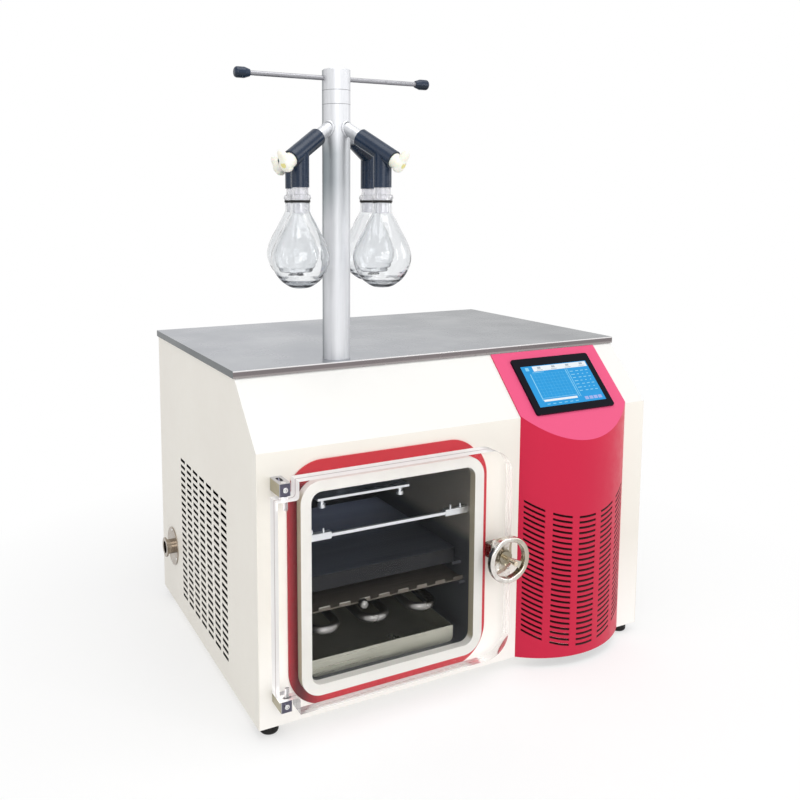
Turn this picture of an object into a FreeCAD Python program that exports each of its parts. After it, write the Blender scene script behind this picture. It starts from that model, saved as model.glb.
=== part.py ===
import FreeCAD, Part
import math
import os

import Sketcher

# A bench-top freeze dryer: a sheet-steel cabinet with a drying chamber behind a clear door, a
# refrigeration side behind a curved louvred cover with a touch screen, and a drying manifold with
# four valves and pear flasks on a column that also carries the stoppering handle.
#
# Places are written in the cabinet's own coordinates (corner 0, 0, 0 at the lower left front edge of
# the body, X to the right, Y to the back, Z up).  ORIGIN_X, ORIGIN_Y and ORIGIN_Z then move
# everything so that the part's origin lies on the floor, under the middle of the whole object.

SIZES = {
    # cabinet shell
    "body_width": 800, "body_depth": 584, "body_height": 552, "bend_height": 452,
    "slope_setback": 96.3, "sheet": 1.5, "plate_height": 12.3, "plate_overhang": 2.8,
    "pan_lip": 20,
    # feet
    "foot_height": 18, "foot_radius": 16, "foot_edge": 5, "foot_inset_x": 25, "foot_inset_y": 22,
    # grilles
    "grille_column_pitch": 42, "grille_slot_length": 30, "grille_slot_height": 6,
    "grille_row_pitch": 12.8, "grille_rows": 23, "grille_columns": 7, "grille_front": 148,
    "grille_low": 41,
    "rear_grille_left": 430, "rear_grille_rows": 16, "rear_grille_low": 250,
    # chamber mouth, trim and seal
    "mouth_x": 232, "mouth_z": 229.5, "seal_width": 342, "seal_height": 354, "seal_band": 18,
    "seal_corner": 36, "seal_projection": 17.7, "trim_width": 374, "trim_height": 402,
    "trim_corner": 66, "trim_thickness": 3, "fit_gap": 0.3, "running_gap": 0.05,
    # chamber
    "chamber_depth": 340, "chamber_wall": 4, "flange_back": 5, "leg_thickness": 4,
    "leg_inset": 30, "leg_front": 30, "leg_length": 260, "shelf_rail_width": 18,
    "shelf_rail_height": 5, "baffle_rail_width": 12, "baffle_rail_height": 4,
    # chamber fittings
    "shelf_top": 162, "shelf_thickness": 26, "shelf_side_gap": 13, "shelf_front": 22,
    "shelf_depth": 285, "shelf_edge": 3,
    "baffle_height": 104, "baffle_thickness": 2, "baffle_front": 15, "baffle_depth": 318,
    "baffle_lip": 7, "baffle_teeth": 8, "tooth_width": 20, "tooth_pitch": 37, "tooth_depth": 5,
    "baffle_knob_x": 102, "baffle_knob_radius": 8, "baffle_knob_neck": 3, "baffle_knob_reach": 5,
    "coil_height": 70, "coil_pitch": 46.5, "coil_tube_radius": 7, "coil_front": 10, "coil_back": 310,
    "coil_first": 20, "coil_outside": 12, "coil_runs": 6,
    "tray_left_gap": 10, "tray_right_gap": 26, "tray_front": 6, "tray_depth": 270,
    "tray_height": 29, "tray_sheet": 1.5, "tray_corner": 8.2,
    "bar_height": 232.5, "bar_thickness": 5, "bar_front": 4, "bar_block_length": 45,
    "bar_block_height": 11, "bar_block_depth": 10, "bar_pin_radius": 1.8, "bar_pin_height": 6,
    "bar_pin_spacing": 10,
    # door
    "door_width": 433, "door_height": 374, "door_thickness": 32, "door_corner": 45,
    "notch_width": 35, "notch_height": 28.5, "notch_corner": 6,
    # hinges
    "hinge_block_offset": 6.5, "hinge_block_width": 19, "hinge_block_depth": 40,
    "hinge_block_height": 20, "hinge_block_gap": 0.4, "hinge_block_edge": 2,
    "hinge_pin_radius": 4, "hinge_pin_sink": 16, "hinge_shoulder_radius": 7,
    "hinge_shoulder_height": 5, "hinge_slot_width": 8, "hinge_slot_corner": 3,
    "hinge_slot_front": 26, "hinge_slot_back": 8, "hinge_slot_depth": 4,
    # latch
    "latch_inset": 20, "spindle_radius": 4, "spindle_edge": 0.6, "spindle_reach": 92,
    "bush_radius": 9, "bush_plate_width": 40, "bush_plate_height": 64,
    "bush_plate_thickness": 2.5, "bush_plate_corner": 6, "block_width": 18, "block_height": 25,
    "block_stand_off": 0.5, "block_bore_depth": 14, "block_bore_gap": 0.3,
    "wheel_radius": 40.5, "wheel_rim_width": 9, "wheel_rim_depth": 12, "wheel_rim_edge": 3,
    "wheel_hub_radius": 11, "wheel_hub_length": 9, "wheel_web": 4, "wheel_dish": 12,
    "wheel_window_inner": 14, "wheel_window_span": 96, "wheel_window_turn": 30,
    "wheel_windows": 3,
    # control cover and screen
    "cover_x": 627, "cover_width": 249, "cover_bulge": 45, "cover_wall": 3, "cover_proud": 2,
    "cover_top_gap": 3.3, "cover_slot_top": 304, "cover_slot_pitch": 10.2, "cover_slot_rows": 25,
    "cover_slot_columns": 5, "cover_slot_opening": 3.2, "cover_slot_arc": 39,
    "cover_slot_angle": 15.5, "cover_slot_tilt": 42,
    "cover_opening_margin": 12, "bezel_width": 184, "bezel_height": 120, "bezel_start": -2.4,
    "bezel_shift": 1.5, "bezel_thickness": 3.5, "bezel_corner": 5, "display_width": 157,
    "display_height": 88, "display_depth": 1, "display_start": 12, "display_shift": 2,
    # column and manifold
    "column_x": 200.5, "column_y": 131, "column_radius": 24, "column_wall": 4, "column_top": 998.4,
    "collar_height": 23.3, "collar_socket": 15, "spigot_radius": 18, "head_height": 35,
    "head_edge": 1.5, "spigot_length": 36, "arm_count": 4, "arm_angle": 26.4, "arm_drop": 30,
    "arm_radius": 96, "arm_height": 916, "stub_radius": 10.5, "stub_wall": 1.5, "stub_insert": 10,
    "valve_radius": 15, "valve_inner_reach": 51, "valve_outer_reach": 118,
    "valve_bottom": 858.8, "plug_length": 34, "knob_radius": 12.5,
    "knob_length": 22, "wing_span": 37, "wing_width": 20, "wing_depth": 14, "wing_edge": 6,
    "knob_recess": 5,
    # glassware
    "adapter_radius": 13.5, "adapter_shank": 11, "adapter_shank_length": 15, "adapter_visible": 12,
    "adapter_cone_length": 18, "adapter_taper": 0.8, "adapter_bore": 8.5, "neck_radius": 15.5,
    "glass_wall": 1.8, "neck_length": 15, "bead_edge": 16.3, "bead_curve": 6.5,
    "bead_height": 8.8,
    "flask_radius": 48.5, "flask_drop": 92, "ring_radius": 16.6, "ring_height": 3.5,
    # stoppering press
    "rod_radius": 6, "rod_top_gap": 3, "press_height": 281,
    "press_thickness": 4, "press_width": 172, "press_depth": 190, "post_radius": 4,
    "post_length": 15, "post_inset": 8, "post_foot_radius": 6.5, "post_foot_height": 6,
    "rod_boss_radius": 14, "rod_boss_height": 10, "top_opening_radius": 18,
    # T handle
    "bar_radius": 4, "bar_half_length": 175, "bar_drop": 15.1, "grip_radius": 9,
    "grip_length": 26, "grip_overhang": 6, "grip_edge": 5, "grip_taper": 3,
    # vacuum port
    "port_y": 502, "port_z": 119, "port_reach": 18, "port_flange_radius": 20,
    "port_flange_thickness": 3, "port_radius": 15, "port_bore": 12.5, "escutcheon_radius": 39,
    "escutcheon_thickness": 2, "port_bend": 45, "port_join_x": 250,
    # refrigeration side
    "radiator_width": 226, "radiator_height": 290, "radiator_depth": 40, "radiator_gap": 22,
    "fin_pitch": 12, "fin_slot": 7, "fin_slot_depth": 14, "fin_margin": 15,
    "fan_z": 150, "fan_radius": 100, "fan_hub_radius": 22, "fan_hub_length": 22, "fan_gap": 14,
    "fan_blades": 5, "blade_width": 56, "blade_thickness": 2.5, "blade_pitch": 32,
    "motor_radius": 32, "motor_length": 60, "motor_shaft_radius": 4, "motor_shaft_sink": 14,
    "bracket_width": 16, "bracket_thickness": 3,
    "compressor_x": 610, "compressor_y": 420, "compressor_radius": 76, "compressor_height": 190,
    "compressor_dome": 40, "compressor_base": 170, "compressor_base_thickness": 6,
    # power inlet in the rear panel
    "inlet_x": 700, "inlet_z": 70, "inlet_width": 50, "inlet_height": 28, "inlet_flange": 2,
    "inlet_body_width": 40, "inlet_body_height": 22, "inlet_body_depth": 26, "inlet_recess": 18,
    "inlet_wall": 4, "inlet_pin_width": 2, "inlet_pin_height": 5, "inlet_pin_spacing": 9,
}

doc = FreeCAD.newDocument("freeze_dryer")
sheet = doc.addObject("Spreadsheet::Sheet", "Sizes")
for row, (alias, number) in enumerate(SIZES.items(), start=1):
    sheet.set("A%d" % row, alias.replace("_", " "))
    sheet.set("B%d" % row, str(number))
    sheet.setAlias("B%d" % row, alias)
doc.recompute()


class Size:
    """A length or angle that knows both its number and the sheet expression behind it."""

    def __init__(self, number, text):
        self.number = number
        self.text = text

    def __add__(self, other):
        return Size(self.number + number_of(other), "(%s + %s)" % (self.text, text_of(other)))

    def __radd__(self, other):
        return Size(number_of(other) + self.number, "(%s + %s)" % (text_of(other), self.text))

    def __sub__(self, other):
        return Size(self.number - number_of(other), "(%s - %s)" % (self.text, text_of(other)))

    def __rsub__(self, other):
        return Size(number_of(other) - self.number, "(%s - %s)" % (text_of(other), self.text))

    def __mul__(self, other):
        return Size(self.number * number_of(other), "(%s * %s)" % (self.text, text_of(other)))

    __rmul__ = __mul__

    def __truediv__(self, other):
        return Size(self.number / number_of(other), "(%s / %s)" % (self.text, text_of(other)))

    def __neg__(self):
        return Size(-self.number, "(0 - %s)" % self.text)


def number_of(item):
    return item.number if isinstance(item, Size) else float(item)


def text_of(item):
    return item.text if isinstance(item, Size) else repr(float(item))


def root(item):
    return Size(math.sqrt(item.number), "sqrt(%s)" % item.text)


def cosine(item):
    return Size(math.cos(math.radians(item.number)), "cos(%s)" % item.text)


def sine(item):
    return Size(math.sin(math.radians(item.number)), "sin(%s)" % item.text)


def arctangent(item):
    return Size(math.degrees(math.atan(item.number)), "atan(%s)" % item.text)


def size(alias):
    return Size(float(SIZES[alias]), "Sizes." + alias)


ZERO = Size(0.0, "0")

# Values that several pieces share
body_width = size("body_width")
body_depth = size("body_depth")
body_height = size("body_height")
bend_height = size("bend_height")
slope_setback = size("slope_setback")
sheet_metal = size("sheet")
fit_gap = size("fit_gap")
running_gap = size("running_gap")

ORIGIN_X = (body_width + size("plate_overhang") - size("port_reach")) / 2
ORIGIN_Y = (body_depth + size("plate_overhang") - size("spindle_reach")) / 2
ORIGIN_Z = size("foot_height")

SLOPE_RISE = body_height - bend_height
SLOPE_LENGTH = root(slope_setback * slope_setback + SLOPE_RISE * SLOPE_RISE)
SLOPE_ANGLE = arctangent(SLOPE_RISE / slope_setback)
SHELL_TOP = body_height + size("plate_height") - sheet_metal

MOUTH_X = size("mouth_x")
MOUTH_Z = size("mouth_z")
INNER_WIDTH = size("seal_width") - 2 * size("seal_band")
INNER_HEIGHT = size("seal_height") - 2 * size("seal_band")
CHAMBER_LEFT = MOUTH_X - INNER_WIDTH / 2
CHAMBER_RIGHT = MOUTH_X + INNER_WIDTH / 2
CHAMBER_FLOOR = MOUTH_Z - INNER_HEIGHT / 2
CHAMBER_CEILING = MOUTH_Z + INNER_HEIGHT / 2
INNER_CORNER = size("seal_corner") - size("seal_band")

DOOR_BACK = -(size("seal_projection") + fit_gap)
DOOR_FRONT = DOOR_BACK - size("door_thickness")
DOOR_LEFT = MOUTH_X - size("door_width") / 2
DOOR_RIGHT = MOUTH_X + size("door_width") / 2
DOOR_LOW = MOUTH_Z - size("door_height") / 2
DOOR_HIGH = MOUTH_Z + size("door_height") / 2
HINGE_X = DOOR_LEFT + size("hinge_block_offset") + size("hinge_block_width") / 2
HINGE_Y = DOOR_BACK - size("door_thickness") / 2
LATCH_X = DOOR_RIGHT - size("latch_inset")

COLUMN_X = size("column_x")
COLUMN_Y = size("column_y")
COLLAR_TOP = size("column_top") + size("collar_height")
HEAD_TOP = COLLAR_TOP + size("head_height")
HANDLE_Z = HEAD_TOP - size("bar_drop")
ARM_COUNT = SIZES["arm_count"]
ARM_SLOPE = sine(size("arm_drop")) / cosine(size("arm_drop"))
ARM_START_Z = size("arm_height") + size("arm_radius") * ARM_SLOPE
QUARTER_TURN = 90
X_AXIS = FreeCAD.Vector(1, 0, 0)
Y_AXIS = FreeCAD.Vector(0, 1, 0)
Z_AXIS = FreeCAD.Vector(0, 0, 1)

sub_parts = []


# ---------------------------------------------------------------- building blocks

def bind(item, prop, value):
    """Sets a property to a size and ties it to the sheet."""
    item.setExpression(prop, text_of(value))


def move(item, x, y, z, axis=None, angle=None):
    """Places an object, with an optional turn about one axis, and ties the place to the sheet."""
    rotation = FreeCAD.Rotation()
    if axis is not None:
        rotation = FreeCAD.Rotation(axis, number_of(angle))
    base = FreeCAD.Vector(number_of(x), number_of(y), number_of(z))
    item.Placement = FreeCAD.Placement(base, rotation)
    bind(item, "Placement.Base.x", x)
    bind(item, "Placement.Base.y", y)
    bind(item, "Placement.Base.z", z)
    if isinstance(angle, Size):
        bind(item, "Placement.Rotation.Angle", angle)
    return item


def put(item, x, y, z, axis=None, angle=None):
    """Places an object at a point given in cabinet coordinates."""
    return move(item, x - ORIGIN_X, y - ORIGIN_Y, z + ORIGIN_Z, axis, angle)


def block(name, x, y, z):
    item = doc.addObject("Part::Box", name)
    bind(item, "Length", x)
    bind(item, "Width", y)
    bind(item, "Height", z)
    return item


def rod(name, radius, length):
    item = doc.addObject("Part::Cylinder", name)
    bind(item, "Radius", radius)
    bind(item, "Height", length)
    return item


def cut(name, base, tool):
    item = doc.addObject("Part::Cut", name)
    item.Base = base
    item.Tool = tool
    return item


def fuse(name, shapes):
    item = doc.addObject("Part::MultiFuse", name)
    item.Shapes = shapes
    return item


def common(name, shapes):
    item = doc.addObject("Part::MultiCommon", name)
    item.Shapes = shapes
    return item


def group(name, shapes):
    item = doc.addObject("Part::Compound", name)
    item.Links = shapes
    return item


def round_edges(name, base, radius, wanted):
    """Part fillet of the edges of base that the test function wants."""
    doc.recompute()
    item = doc.addObject("Part::Fillet", name)
    item.Base = base
    picked = [i for i, edge in enumerate(base.Shape.Edges, start=1) if wanted(edge)]
    item.Edges = [(i, number_of(radius), number_of(radius)) for i in picked]
    return item


def runs_along(edge, axis):
    if not isinstance(edge.Curve, Part.Line):
        return False
    return abs(abs(edge.tangentAt(edge.FirstParameter).dot(axis)) - 1) < 1e-6


def finished(item, label):
    """Names a finished sub-part and puts it on the list of pieces to write."""
    item.Label = label
    sub_parts.append(item)
    return item


def origin_feature(body, role):
    for feature in body.Origin.OriginFeatures:
        if feature.Role == role:
            return feature
    raise ValueError(role)


def new_body(name):
    return doc.addObject("PartDesign::Body", name)


def new_sketch(body, name, plane):
    sketch = body.newObject("Sketcher::SketchObject", name)
    sketch.AttachmentSupport = (origin_feature(body, plane), [""])
    sketch.MapMode = "FlatFace"
    return sketch


def fix_point(sketch, geometry, end, x, y):
    """Ties a vertex of the sketch to two sizes, measured from the sketch's origin."""
    for kind, value in (("DistanceX", x), ("DistanceY", y)):
        index = sketch.addConstraint(
            Sketcher.Constraint(kind, -1, 1, geometry, end, number_of(value)))
        sketch.setExpression("Constraints[%d]" % index, text_of(value))


def arc_between(start, stop, radius):
    """Arc from start to stop.  A positive radius bulges to the right of the direction of travel."""
    chord = stop - start
    half = chord.Length / 2
    rise = math.sqrt(max(radius * radius - half * half, 0.0))
    side = FreeCAD.Vector(-chord.y, chord.x, 0).normalize()
    centre = (start + stop) / 2 + side * (rise if radius > 0 else -rise)
    circle = Part.Circle(centre, Z_AXIS, abs(radius))
    first = math.atan2(start.y - centre.y, start.x - centre.x)
    last = math.atan2(stop.y - centre.y, stop.x - centre.x)
    if radius < 0:
        first, last = last, first
    if last < first:
        last += 2 * math.pi
    return Part.ArcOfCircle(circle, first, last)


def draw_loop(sketch, points):
    """Closed loop through (x, y) or (x, y, radius) points.

    A point with a radius is reached by an arc of that radius from the point before it.
    """
    count = len(points)
    places = [FreeCAD.Vector(number_of(p[0]), number_of(p[1]), 0) for p in points]
    for i in range(count):
        begin = points[i]
        end = points[(i + 1) % count]
        start = places[i]
        stop = places[(i + 1) % count]
        if len(end) == 2:
            index = sketch.addGeometry(Part.LineSegment(start, stop), False)
            fix_point(sketch, index, 1, begin[0], begin[1])
            fix_point(sketch, index, 2, end[0], end[1])
            continue
        radius = number_of(end[2])
        index = sketch.addGeometry(arc_between(start, stop, radius), False)
        first, last = (1, 2) if radius > 0 else (2, 1)
        fix_point(sketch, index, first, begin[0], begin[1])
        fix_point(sketch, index, last, end[0], end[1])
        bound = end[2] if radius > 0 else -end[2]
        constraint = sketch.addConstraint(Sketcher.Constraint("Radius", index, abs(radius)))
        sketch.setExpression("Constraints[%d]" % constraint, text_of(bound))


def rectangle(left, right, low, high):
    return [(left, low), (right, low), (right, high), (left, high)]


def rounded_rectangle(left, right, low, high, radius):
    """Counter-clockwise rectangle with round corners."""
    return [
        (left + radius, low, radius), (right - radius, low),
        (right, low + radius, radius), (right, high - radius),
        (right - radius, high, radius), (left + radius, high),
        (left, high - radius, radius), (left, low + radius),
    ]


def pad(name, plane, loops, length):
    """Body made by padding a sketch with one or more loops: up, to the back or to the right."""
    body = new_body(name)
    sketch = new_sketch(body, name + "_profile", plane)
    for loop in loops:
        draw_loop(sketch, loop)
    feature = body.newObject("PartDesign::Pad", name + "_pad")
    feature.Profile = sketch
    bind(feature, "Length", length)
    feature.Reversed = plane == "XZ_Plane"
    return body


def turn(name, points):
    """Body made by revolving a half profile of (radius, height) points about its own Z axis."""
    body = new_body(name)
    sketch = new_sketch(body, name + "_profile", "XZ_Plane")
    draw_loop(sketch, points)
    feature = body.newObject("PartDesign::Revolution", name + "_turn")
    feature.Profile = sketch
    feature.ReferenceAxis = (sketch, ["V_Axis"])
    feature.Angle = 360
    return body


def pocket_through(body, name, plane, loops):
    """Pocket cut right through the body, both ways from the plane."""
    sketch = new_sketch(body, name + "_profile", plane)
    for loop in loops:
        draw_loop(sketch, loop)
    feature = body.newObject("PartDesign::Pocket", name)
    feature.Profile = sketch
    feature.Type = "ThroughAll"
    feature.Midplane = True
    return feature


def repeat_upwards(body, name, feature, pitch, rows):
    """Linear pattern of a pocket along the body's Z axis."""
    pattern = body.newObject("PartDesign::LinearPattern", name)
    pattern.Originals = [feature]
    pattern.Direction = (origin_feature(body, "Z_Axis"), [""])
    pattern.Reversed = False
    bind(pattern, "Occurrences", rows)
    bind(pattern, "Length", pitch * (rows - 1))
    body.Tip = pattern
    return pattern


# ---------------------------------------------------------------- cabinet shell

def make_base_pan():
    width = body_width - 2 * sheet_metal
    depth = body_depth - 2 * sheet_metal
    outer = put(block("pan_outer", width, depth, size("pan_lip")), sheet_metal, sheet_metal, ZERO)
    inner = put(block("pan_inner", width - 2 * sheet_metal, depth - 2 * sheet_metal,
                      size("pan_lip")),
                2 * sheet_metal, 2 * sheet_metal, sheet_metal)
    finished(cut("base_pan", outer, inner), "base_pan")


def side_outline():
    return [(ZERO, ZERO), (body_depth, ZERO), (body_depth, SHELL_TOP), (slope_setback, SHELL_TOP),
            (slope_setback, body_height), (ZERO, bend_height)]


def grille_row(first, low):
    pitch = size("grille_column_pitch")
    length = size("grille_slot_length")
    loops = []
    for column in range(SIZES["grille_columns"]):
        start = first + column * pitch
        loops.append(rectangle(start, start + length, low, low + size("grille_slot_height")))
    return loops


def make_side_panel(name, x, holes):
    body = pad(name, "YZ_Plane", [side_outline()], sheet_metal)
    row = pocket_through(body, name + "_slots", "YZ_Plane",
                         grille_row(size("grille_front"), size("grille_low")))
    repeat_upwards(body, name + "_grille", row, size("grille_row_pitch"), size("grille_rows"))
    if not holes:
        return finished(put(body, x, ZERO, ZERO), name)
    body.Label = name + "_sheet"
    put(body, x, ZERO, ZERO)
    hole = rod(name + "_port_hole", size("port_radius") + fit_gap, 4 * sheet_metal)
    put(hole, x - sheet_metal, size("port_y"), size("port_z"), Y_AXIS, QUARTER_TURN)
    return finished(cut(name, body, hole), name)


def make_front_panel():
    tilt = (SLOPE_LENGTH - SLOPE_RISE) / slope_setback
    outline = [(ZERO, ZERO), (sheet_metal, ZERO), (sheet_metal, bend_height - sheet_metal * tilt),
               (slope_setback + sheet_metal, body_height - sheet_metal * tilt),
               (slope_setback + sheet_metal, SHELL_TOP), (slope_setback, SHELL_TOP),
               (slope_setback, body_height), (ZERO, bend_height)]
    body = pad("front_sheet", "YZ_Plane", [outline], body_width - 2 * sheet_metal)
    margin = size("cover_opening_margin")
    half = size("cover_width") / 2 - margin
    gap = fit_gap
    pocket_through(body, "mouth_cut_out", "XZ_Plane", [rounded_rectangle(
        MOUTH_X - size("seal_width") / 2 - gap - sheet_metal,
        MOUTH_X + size("seal_width") / 2 + gap - sheet_metal,
        MOUTH_Z - size("seal_height") / 2 - gap,
        MOUTH_Z + size("seal_height") / 2 + gap,
        size("seal_corner") + gap)])
    pocket_through(body, "control_cut_out", "XZ_Plane", [rectangle(
        size("cover_x") - half - sheet_metal, size("cover_x") + half - sheet_metal,
        size("pan_lip") + margin, body_height - margin)])
    finished(put(body, sheet_metal, ZERO, ZERO), "front_panel")


def make_rear_panel():
    inner_width = body_width - 2 * sheet_metal
    body = pad("rear_sheet", "XZ_Plane", [rectangle(ZERO, inner_width, ZERO, SHELL_TOP)],
               sheet_metal)
    row = pocket_through(body, "rear_slots", "XZ_Plane",
                         grille_row(size("rear_grille_left"), size("rear_grille_low")))
    repeat_upwards(body, "rear_grille", row, size("grille_row_pitch"), size("rear_grille_rows"))
    half_width = size("inlet_body_width") / 2 + fit_gap
    half_height = size("inlet_body_height") / 2 + fit_gap
    x = size("inlet_x") - sheet_metal
    pocket_through(body, "inlet_hole", "XZ_Plane", [rectangle(
        x - half_width, x + half_width,
        size("inlet_z") - half_height, size("inlet_z") + half_height)])
    finished(put(body, sheet_metal, body_depth - sheet_metal, ZERO), "rear_panel")


def make_top_plate():
    over = size("plate_overhang")
    height = size("plate_height")
    width = body_width + 2 * over
    depth = body_depth - slope_setback + 2 * over
    outer = put(block("plate_outer", width, depth, height), -over, slope_setback - over,
                body_height)
    inner = put(block("plate_inner", width - 2 * sheet_metal, depth - 2 * sheet_metal, height),
                sheet_metal - over, slope_setback - over + sheet_metal, body_height - sheet_metal)
    folded = cut("plate_folded", outer, inner)
    hole = put(rod("plate_hole", size("column_radius") + fit_gap, 4 * sheet_metal),
               COLUMN_X, COLUMN_Y, SHELL_TOP - sheet_metal)
    finished(cut("top_plate", folded, hole), "top_plate")


def make_feet():
    radius = size("foot_radius")
    height = size("foot_height")
    edge = size("foot_edge")
    left = size("foot_inset_x")
    front = size("foot_inset_y")
    feet = []
    for x in (left, body_width - left):
        for y in (front, body_depth - front):
            body = turn("foot", [(ZERO, -height), (radius - edge, -height),
                                 (radius, edge - height, edge), (radius, ZERO), (ZERO, ZERO)])
            feet.append(put(body, x, y, ZERO))
    finished(group("rubber_feet", feet), "rubber_feet")


# ---------------------------------------------------------------- drying chamber

def mouth_outline(width, height, radius):
    return rounded_rectangle(-(width / 2), width / 2, -(height / 2), height / 2, radius)


def make_door_trim():
    body = pad("door_trim", "XZ_Plane", [
        mouth_outline(size("trim_width"), size("trim_height"), size("trim_corner")),
        mouth_outline(size("seal_width") + 2 * fit_gap, size("seal_height") + 2 * fit_gap,
                      size("seal_corner") + fit_gap)], size("trim_thickness"))
    finished(put(body, MOUTH_X, -size("trim_thickness"), MOUTH_Z), "door_trim")


def make_door_seal():
    body = pad("door_seal", "XZ_Plane", [
        mouth_outline(size("seal_width"), size("seal_height"), size("seal_corner")),
        mouth_outline(INNER_WIDTH, INNER_HEIGHT, INNER_CORNER)],
        size("seal_projection") - size("trim_thickness"))
    finished(put(body, MOUTH_X, -size("seal_projection"), MOUTH_Z), "door_seal")


def make_chamber():
    wall = size("chamber_wall")
    depth = size("chamber_depth")
    flange_back = size("flange_back")
    flange = put(pad("chamber_flange", "XZ_Plane", [
        mouth_outline(size("seal_width"), size("seal_height"), size("seal_corner")),
        mouth_outline(INNER_WIDTH, INNER_HEIGHT, INNER_CORNER)],
        size("trim_thickness") + flange_back), MOUTH_X, -size("trim_thickness"), MOUTH_Z)
    walls = put(pad("chamber_walls", "XZ_Plane", [
        mouth_outline(INNER_WIDTH + 2 * wall, INNER_HEIGHT + 2 * wall, INNER_CORNER + wall),
        mouth_outline(INNER_WIDTH, INNER_HEIGHT, INNER_CORNER)],
        depth), MOUTH_X, ZERO, MOUTH_Z)
    back = put(pad("chamber_back", "XZ_Plane", [
        mouth_outline(INNER_WIDTH + 2 * wall, INNER_HEIGHT + 2 * wall, INNER_CORNER + wall)],
        wall), MOUTH_X, depth, MOUTH_Z)
    pieces = [flange, walls, back]
    for side in (-1, 1):
        x = MOUTH_X + side * (INNER_WIDTH / 2 - size("leg_inset")) - size("leg_thickness") / 2
        leg = block("chamber_leg", size("leg_thickness"), size("leg_length"),
                    CHAMBER_FLOOR - wall / 2 - sheet_metal)
        pieces.append(put(leg, x, size("leg_front"), sheet_metal))
    for side, name in ((-1, "left"), (1, "right")):
        for rail, top, width, height, start, length in (
                ("shelf", CHAMBER_FLOOR + size("shelf_top") - size("shelf_thickness"),
                 size("shelf_rail_width"), size("shelf_rail_height"), size("shelf_front"),
                 size("shelf_depth")),
                ("baffle", CHAMBER_FLOOR + size("baffle_height"), size("baffle_rail_width"),
                 size("baffle_rail_height"), size("coil_front"), size("coil_back"))):
            bar = block("%s_rail_%s" % (rail, name), width + wall / 2, length, height)
            x = CHAMBER_LEFT - wall / 2 if side < 0 else CHAMBER_RIGHT - width
            pieces.append(put(bar, x, start, top - height))
    body = fuse("chamber_welded", pieces)
    top_hole = put(rod("chamber_top_hole", size("top_opening_radius"), 4 * wall),
                   COLUMN_X, COLUMN_Y, CHAMBER_CEILING - wall)
    port_hole = put(rod("chamber_port_hole", size("port_bore"), 4 * wall),
                    size("port_join_x"), depth - wall, size("port_z"), X_AXIS, -QUARTER_TURN)
    holes = [top_hole, port_hole]
    for step in (0, SIZES["coil_runs"] - 1):
        hole = rod("chamber_coil_hole", size("coil_tube_radius"), 4 * wall)
        holes.append(put(hole, coil_run_x(step), depth - wall, CHAMBER_FLOOR + size("coil_height"),
                         X_AXIS, -QUARTER_TURN))
    finished(cut("chamber", body, fuse("chamber_holes", holes)), "chamber")


def make_shelf():
    gap = size("shelf_side_gap")
    top = CHAMBER_FLOOR + size("shelf_top")
    plate = put(block("shelf_plate", INNER_WIDTH - 2 * gap, size("shelf_depth"),
                      size("shelf_thickness")),
                CHAMBER_LEFT + gap, size("shelf_front"), top - size("shelf_thickness"))
    finished(round_edges("shelf", plate, size("shelf_edge"), lambda edge: runs_along(edge, Z_AXIS)),
             "shelf")


def make_baffle():
    gap = fit_gap
    lip = size("baffle_lip")
    thick = size("baffle_thickness")
    width = INNER_WIDTH - 2 * gap
    z = CHAMBER_FLOOR + size("baffle_height")
    front = size("baffle_front")
    deck = put(block("baffle_deck", width, size("baffle_depth"), thick), CHAMBER_LEFT + gap, front, z)
    comb = put(block("baffle_comb", width, thick, lip), CHAMBER_LEFT + gap, front, z)
    notches = []
    pitch = size("tooth_pitch")
    for step in range(SIZES["baffle_teeth"]):
        notch = block("baffle_notch", pitch - size("tooth_width"), 3 * thick, size("tooth_depth"))
        x = CHAMBER_LEFT + size("tooth_width") / 2 + step * pitch
        notches.append(put(notch, x, front - thick, z + lip - size("tooth_depth")))
    finished(cut("baffle_plate", fuse("baffle_blank", [deck, comb]), fuse("baffle_notches", notches)),
             "baffle_plate")
    ball = size("baffle_knob_radius")
    neck = size("baffle_knob_neck")
    reach = size("baffle_knob_reach")
    knob = turn("baffle_knob", [(ZERO, ZERO), (neck, ZERO), (neck, reach),
                                (ball, reach + ball / 2), (ball, reach + ball),
                                (ZERO, reach + 2 * ball, ball)])
    finished(put(knob, CHAMBER_LEFT + size("baffle_knob_x"), front, z + lip / 2, X_AXIS,
                 QUARTER_TURN), "baffle_knob")


def coil_run_x(step):
    return CHAMBER_LEFT + size("coil_first") + step * size("coil_pitch")


def make_condenser_coil():
    """Serpentine tube: straight runs joined by half rings, both ends leaving by the back wall."""
    z = CHAMBER_FLOOR + size("coil_height")
    radius = size("coil_tube_radius")
    bend = size("coil_pitch") / 2
    front = size("coil_front") + bend + radius
    back = size("coil_back") - bend - radius
    outside = size("chamber_depth") + size("chamber_wall") + size("coil_outside")
    runs = SIZES["coil_runs"]
    pieces = []
    for step in range(runs):
        end = outside if step in (0, runs - 1) else back
        run = rod("coil_run", radius, end - front)
        pieces.append(put(run, coil_run_x(step), front, z, X_AXIS, -QUARTER_TURN))
    for step in range(runs - 1):
        ring = doc.addObject("Part::Torus", "coil_bend")
        bind(ring, "Radius1", bend)
        bind(ring, "Radius2", radius)
        ring.Angle3 = 2 * QUARTER_TURN
        y = front if step % 2 == 0 else back
        turned = 2 * QUARTER_TURN if step % 2 == 0 else 0
        pieces.append(put(ring, coil_run_x(step) + bend, y, z, Z_AXIS, turned))
    finished(fuse("condenser_coil", pieces), "condenser_coil")


def trough_outline(left, right, height, corner):
    """Cross section of a trough on the floor: square top, two round lower corners."""
    return [
        (left, corner), (left + corner, ZERO, corner), (right - corner, ZERO),
        (right, corner, corner), (right, height), (left, height),
    ]


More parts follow.
